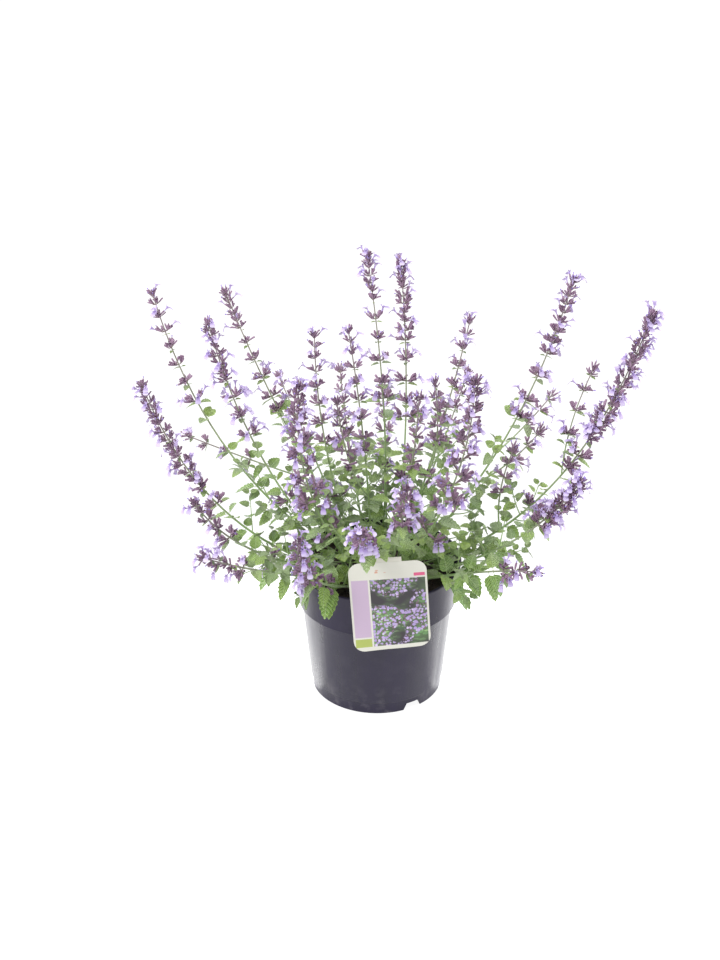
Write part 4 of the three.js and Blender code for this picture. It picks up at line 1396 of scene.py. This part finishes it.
# %% Cut the drain notches
def notch_cutters(bearing):
    """Solids for one notch in the foot ring and the drain hole behind it."""
    turn = math.radians(bearing)
    outward = Vector((math.cos(turn), math.sin(turn), 0))
    depth, height = 1.5 * NOTCH["inside"], NOTCH["height"] + 1
    clear()
    bpy.ops.mesh.primitive_cube_add(size=1, scale=(depth * MM, NOTCH["bottom"] * MM, height * MM))
    through = begin("notch")
    pick("FACE", lambda middle: middle.z > height * MM * 0.4)
    resize((1, NOTCH["top"] / NOTCH["bottom"], 1))
    clear()
    out = FOOT - NOTCH["inside"] + depth / 2
    through.location = outward * out * MM + Vector((0, 0, (height / 2 - 1) * MM))
    through.rotation_euler = (0, 0, turn)
    bpy.ops.mesh.primitive_cube_add(
        size=1, scale=(NOTCH["inside"] * MM, NOTCH["hole"] * MM, 15 * MM), rotation=(0, 0, turn),
        location=outward * (FOOT - 1.5 * NOTCH["inside"]) * MM + Vector((0, 0, 10 * MM)),
    )
    return [through, bpy.context.object]


for count in range(NOTCH["count"]):
    for cutter in notch_cutters(NOTCH["bearing"] + 360 / NOTCH["count"] * count):
        pot.modifiers.new("cut", "BOOLEAN").object = cutter
        apply_all(pot)
        bpy.data.objects.remove(cutter)
smooth(38)
print("pot:", len(pot.data.polygons), "faces with its notches")

# %% [markdown]
# The plastic is dark anthracite with a violet cast. Such pots are recycled, so the colour is a little
# uneven, and the wall has a fine grain, faint flow marks up and down, and dust near its foot. The marks
# could be painted on an unwrapped wall. A noise pattern that is stretched along Z does without.

# %% Finish the pot
def pot_finish():
    finish = Finish("pot_plastic", Roughness=0.3, Specular_IOR_Level=0.42)
    flow = finish.add("Mapping", {"Vector": finish.place(), "Scale": (70, 70, 3)}).outputs[0]
    streaks, patches = finish.noise(1.0, 4.0, flow), finish.noise(14, 4.0)
    skin = finish.mix(finish.spread(patches, 0.3, 0.7), colour("100a24"), colour("191130"))
    skin = finish.mix(finish.spread(streaks, 0.35, 0.75, 0.0, 0.35), skin, colour("261d40"))
    low = finish.spread(finish.parts(finish.place())[2], 0.04, 0.0, 0.05, 0.5)
    dust = finish.times(finish.spread(finish.noise(60, 6.0), 0.5, 0.72), low)
    finish.base(finish.mix(dust, skin, colour("6f6b70")))
    uneven = finish.math("ADD", streaks, finish.times(patches, 0.5))
    finish.wire(finish.spread(uneven, 0.4, 1.0, 0.22, 0.38), "Roughness")
    finish.bump(finish.math("ADD", finish.noise(900, 2.0), finish.times(streaks, 2.0)), 0.00012)
    return finish


pot.data.materials.clear()
pot.data.materials.append(pot_finish().material)
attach(pot, "root")
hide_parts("pot")

# %% [markdown]
# ## Soil
#
# The pot is filled with peat, a low mound of dark crumbs. A bump pattern alone would leave its edge
# against the wall straight, so the mound's top is divided and displaced, and loose crumbs lie on it.

# %% Model the soil
SOIL_PROFILE = [
    (0, 2.8), (49.5, 2.8), (52.5, 12.8), (73.6, 12.8), (83.5, 112.4), (87.4, 115.8), (90.1, 141.5),
]


def soil_level(out):
    return SOIL["top"] + SOIL["rise"] * (1 - (out / RIM["radius"]) ** 2)


top_rings = [(out, soil_level(out)) for out in (87, 84, *range(81, 5, -3), 3, 0)]
soil = spin_profile("peat_soil", SOIL_PROFILE + top_rings, 128)
crust = bpy.data.textures.new("crust", "CLOUDS")
crust.noise_scale, crust.noise_depth = 0.007, 3
top = soil.vertex_groups.new(name="top")
top.add([corner.index for corner in soil.data.vertices if corner.co.z > 0.1443], 1.0, "ADD")
swell = soil.modifiers.new("lumps", "DISPLACE")
swell.texture, swell.vertex_group, swell.texture_coords = crust, "top", "LOCAL"
swell.direction, swell.strength, swell.mid_level = "Z", 0.005, 0.55
apply_all(soil)
bpy.ops.object.shade_smooth()
print("soil:", len(soil.data.polygons), "faces")


# %% Crumbs of peat
CRUMBS = {"count": 420, "out": 88, "shoot": 90}  # shoot: the number that stands for them in `chance`


def model_crumb():
    """One crumb, a lumpy ball of 20 faces."""
    clear()
    bpy.ops.mesh.primitive_ico_sphere_add(subdivisions=1, radius=1)
    crumb = begin("crumb")
    pick("VERT", lambda middle: middle.x > 0.4)
    resize((0.8, 1.2, 0.7))
    pick("VERT", lambda middle: middle.z > 0.5)
    shift((0.2, -0.1, -0.2))
    return close_up(crumb, 30)


def peat_finish():
    finish = Finish("peat", Roughness=0.9)
    fine, coarse = finish.noise(700, 6.0), finish.noise(120, 4.0)
    skin = finish.mix(finish.spread(coarse, 0.35, 0.7), colour("1c1512"), colour("3a2c24"))
    finish.base(finish.mix(finish.spread(fine, 0.58, 0.72), skin, colour("6b5544")))
    finish.bump(finish.math("ADD", fine, coarse), 0.001)
    return finish


def lay_crumb(item):
    """A copy of the crumb with its own size and turn, on the peat."""
    far, bearing, size, turn, wide, tint = (chance(CRUMBS["shoot"], item, purpose) for purpose in range(6))
    out, bearing, turn = CRUMBS["out"] * math.sqrt(far), 2 * math.pi * bearing, turn * 6
    sizes = np.array([1, 0.75 + 0.3 * wide, 0.7]) * (0.7 + 1.6 * size**2)
    place = np.array([out * math.cos(bearing), out * math.sin(bearing), soil_level(out) + 0.2])
    across, along = math.cos(turn), math.sin(turn)
    turned = np.array([[across, along, 0], [-along, across, 0], [0, 0, 1]])
    return place_copy(crumb, lambda shape: (shape * sizes) @ turned + place, tint)


peat = peat_finish()
crumb = remember(model_crumb(), peat)
remember(soil, peat)
soil = join("peat_soil", [soil, *map(lay_crumb, range(CRUMBS["count"]))])
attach(soil, "root")
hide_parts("soil")
print("soil with crumbs:", len(soil.data.polygons), "faces")

# %% [markdown]
# ## Hang label
#
# The label is a printed plastic card, hooked over the pot's rim by a tongue that is folded back and
# stuck in the soil. It could be a box, but a thin card is never quite flat. So a plane has its corners
# bevelled, is cut into strips, bowed, and given its thickness. Its print is a generic one: simple
# flowers, dots and bands, made from where a point lies on the flat card.

# %% Model the card
CARD = {"width": 84.5, "thick": 0.6, "bulge": 1.6, "strips": (12, 16), "wave": 5}


def stand_sheet(name, wide, high):
    """A flat sheet in edit mode, standing in X and Z with its middle at the origin."""
    clear()
    bpy.ops.mesh.primitive_plane_add(size=1, rotation=(math.pi / 2, 0, 0))
    bpy.context.object.scale = (wide * MM, high * MM, 1)
    return begin(name)


def cut_in_strips(count, length, axis):
    """Cuts the edited mesh across an axis at even steps, so that it can bend."""
    for step in range(1, count):
        place, normal = [0, 0, 0], [0, 0, 0]
        place[axis], normal[axis] = length * (step / count - 0.5) * MM, 1
        pick_all()
        bpy.ops.mesh.bisect(plane_co=place, plane_no=normal)


card = stand_sheet("hang_label", CARD["width"], LABEL["height"])
pick_all()
bpy.ops.mesh.bevel(offset=0.8 * LABEL["corner"] * MM, segments=8, affect="VERTICES")
cut_in_strips(CARD["strips"][1], LABEL["height"], 2)
cut_in_strips(CARD["strips"][0], CARD["width"], 0)
clear()
print("card:", len(card.data.polygons), "faces while flat")

# %% Print on the card
def card_plain():
    """Uncoloured card: the label's back, edge and tongue, slightly yellowed and soiled."""
    finish = Finish("card_plain", Roughness=0.38)
    finish.base(finish.mix(finish.noise(45, 4.0), colour("cfccc0"), colour("dcdad0")))
    finish.bump(finish.noise(350, 2.0), 0.00005)
    return finish


def card_print():
    """A generic print: a cream head, a lilac panel on the left, and a field of leaves and round flowers."""
    finish = Finish("card_print", Roughness=0.3, Coat_Weight=0.25, Coat_Roughness=0.2)
    place = finish.flat()
    x, _, z = finish.parts(place)

    def within(value, low, high, soft=0.0004):
        rise = finish.spread(value, (low - soft) * MM, (low + soft) * MM)
        return finish.times(rise, finish.spread(value, (high + soft) * MM, (high - soft) * MM))

    def box(left, right, low, high):
        return finish.times(within(x, left, right), within(z, low, high))

    def dots(scale, size, vector):
        """Round spots, and a number from 0 to 1 for each."""
        cells = finish.add("TexVoronoi", {"Vector": vector, "Scale": scale, "Randomness": 0.75}).outputs
        return finish.spread(cells["Distance"], size, size - 0.06), cells["Color"]

    def vector(operation, inputs):
        return finish.add("VectorMath", inputs, operation=operation).outputs[0]

    cloud = finish.add("TexNoise", {"Vector": place, "Scale": 330}).outputs["Color"]
    cloud = vector("SCALE", {0: vector("SUBTRACT", {0: cloud, 1: (0.5, 0.5, 0.5)}), "Scale": 0.0032})
    ragged = vector("ADD", {0: place, 1: cloud})
    slanted = finish.add("Mapping", {"Vector": ragged, "Rotation": (0, 0.8, 0), "Scale": (1, 1, 2.4)})
    blades, kind = dots(115, 0.5, slanted.outputs[0])
    petals, shade = dots(250, 0.5, ragged)
    cluster = finish.spread(finish.noise(30, 1.0, place), 0.46, 0.5)
    field = finish.mix(finish.noise(80, 3.0, place), colour("35502f"), colour("6b8a55"))
    field = finish.mix(blades, field, finish.mix(kind, colour("4d7f47"), colour("a4c886")))
    field = finish.mix(finish.spread(finish.noise(24, 2.0, place), 0.42, 0.62), colour("2f2a30"), field)
    field = finish.mix(finish.times(dots(420, 0.4, ragged)[0], cluster), field, colour("7a5570"))
    lilac = finish.mix(shade, colour("9a82bd"), colour("d3c3e6"))
    field = finish.mix(finish.times(petals, cluster), field, lilac)
    skin = finish.mix(box(-20, 40, -50, 34), colour("d1d0c6"), field)
    for corners, code in (
        ((-40, -22, -38, 34), "bba6be"), ((-40, -22, -50, -40), "a3b058"), ((28, 40, 36, 40), "d0557f"),
    ):
        skin = finish.mix(box(*corners), skin, colour(code))
    row = finish.add("Mapping", {"Vector": place, "Location": (0, 0, -0.0445)}).outputs[0]
    rings = finish.times(dots(150, 0.3, row)[0], box(-30, 20, 42, 46))
    finish.base(finish.mix(rings, skin, colour("c99a86")))
    finish.bump(finish.noise(260, 2.0), 0.00004)
    return finish


# %% Bend and place the label
def hang(made, front, high):
    """Moves a label part, drawn flat at its own fold, to its place in front of the rim."""
    turn = math.radians(LABEL["turn"])
    x, y, z = corners_of(made).T / MM
    y, z = y + front, z + high
    set_corners(made, np.stack([
        x * math.cos(turn) - z * math.sin(turn) + LABEL["right"] - 1,
        y - RIM["radius"] - 0.3,
        x * math.sin(turn) + z * math.cos(turn) + LABEL["top"],
    ], axis=1))
    made.data.update()


def thicken(made):
    body = made.modifiers.new("body", "SOLIDIFY")
    body.thickness, body.offset = CARD["thick"] * MM, 0
    body.material_offset, body.material_offset_rim = 1, 1
    apply_all(made)
    smooth(40)


def bow(made):
    """Bends the flat card: hollow towards the pot across, and its low corners waved."""
    corners = corners_of(made) / MM
    u, v = corners[:, 0] * 2 / CARD["width"], corners[:, 2] * 2 / LABEL["height"]
    bulge = CARD["bulge"] * (1 - u * u) * (0.6 - 0.4 * v)
    corners[:, 1] -= bulge + 0.9 * u * (v - 1) - 0.9 * (1 - v) ** 2 * 0.4
    corners[:, 1] -= CARD["wave"] * np.clip(-u - 0.1, 0, 1) ** 1.5 * np.clip(-v - 0.4, 0, 1) ** 1.5 * 2
    set_corners(made, corners)


TONGUE = {  # its width, and its side as (how far behind the fold, how high) from front to foot
    "width": 32,
    "side": [(-0.4, -5), (-0.4, 0), (0, 2.2), (1.2, 3.6), (2.6, 3.4), (3.6, 1.6), (4.4, -1), (14.6, -76)],
}


def model_tongue():
    """The tongue behind the card: over the fold and slanting down to its foot in the soil."""
    tongue = stand_sheet("tongue", TONGUE["width"], 1)
    at = TONGUE["side"][0]
    pick("VERT", lambda middle: True)
    shift((0, at[0] * MM, (at[1] - 0.5) * MM))
    pick("EDGE", lambda middle: middle.z > (at[1] - 0.2) * MM)
    for place in TONGUE["side"][1:]:
        extrude((0, (place[0] - at[0]) * MM, (place[1] - at[1]) * MM))
        at = place
    clear()
    return tongue


printed, plain = card_print(), card_plain()
remember(card, printed, plain)
bow(card)
hang(card, -0.4, -LABEL["height"] / 2)
tongue = remember(model_tongue(), plain, plain)
hang(tongue, 0, 0)
thicken(card)
thicken(tongue)
label = join("hang_label", [card, tongue])
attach(label, "root")
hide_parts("label")
print("label:", len(label.data.polygons), "faces")

# %% [markdown]
# ## Floor and light
#
# The plant stands on a plain pale floor in soft, bright light with hardly a shadow. A bright even world
# gives most of that light. One large lamp on the upper left gives the leaves their form. Two more behind
# and beside the pot draw the bright edges that satin plastic has in a white room, and so do two brighter
# patches of the floor, one on each side, which the pot's wall mirrors.

# %% Floor
PATCH = {  # where a patch's wedge starts, its two edges as angles, and where it fades out and behind
    "from": (0.072, -0.035), "edges": ((0.44, 0.7), (1.6, 1.42)), "out": (0.45, 0.3), "behind": (0.26, 0.16),
    "level": 1.5,
}


def floor_finish():
    finish = Finish("white_floor", Roughness=0.9, Specular_IOR_Level=0.1, Emission_Strength=1.0)
    finish.base(finish.mix(finish.noise(0.6), colour("5f5f5f"), colour("636363")))
    x, y, _ = finish.parts(finish.place())
    out = finish.math("ABSOLUTE", x)
    beside, before = finish.math("SUBTRACT", out, PATCH["from"][0]), finish.math("ADD", y, -PATCH["from"][1])
    turn = finish.math("ARCTAN2", before, beside)
    glow = finish.times(*(finish.spread(turn, *edge) for edge in PATCH["edges"]))
    for value, (far, near) in ((out, PATCH["out"]), (y, PATCH["behind"])):
        glow = finish.times(glow, finish.spread(value, far, near))
    level = finish.math("ADD", 0.93, finish.times(glow, PATCH["level"]))
    light = finish.add("CombineColor", {0: level, 1: level, 2: level}).outputs[0]
    finish.wire(light, "Emission Color")
    return finish


clear()
bpy.ops.mesh.primitive_plane_add(size=9)
floor = begin("floor")
pick_all()
bpy.ops.mesh.subdivide(number_cuts=3)
clear()
floor.data.materials.append(floor_finish().material)

# %% Lamps
LAMPS = [  # name, place, what it looks at, size and power
    ("key", (-1.3, -1.6, 2.4), (0, 0, 0.25), 1.0, 46),
    ("left_edge", (-1.5, 0.9, 0.7), (0, 0, 0.15), 1.2, 27),
    ("right_edge", (1.6, 0.7, 0.7), (0, 0, 0.15), 1.2, 27),
]
for name, place, target, size, power in LAMPS:
    toward = Vector(target) - Vector(place)
    bpy.ops.object.light_add(type="AREA", location=place, rotation=toward.to_track_quat("-Z", "Y").to_euler())
    lamp = bpy.context.object
    lamp.name, lamp.data.size, lamp.data.energy = name, size, power
world = bpy.data.worlds.new("white_room")
world.use_nodes = True
room = world.node_tree.nodes["Background"].inputs
room["Color"].default_value, room["Strength"].default_value = (1, 1, 1, 1), 1.0
bpy.context.scene.world = world
bpy.context.scene.view_settings.view_transform = "Standard"
print(len(LAMPS), "lamps and a white room")

# %% [markdown]
# The models and the stem's section have served, and are removed.

# %% Finish
for served in (calyx, flower, bud, big_leaf, small_leaf, crumb, section):
    bpy.data.objects.remove(served)
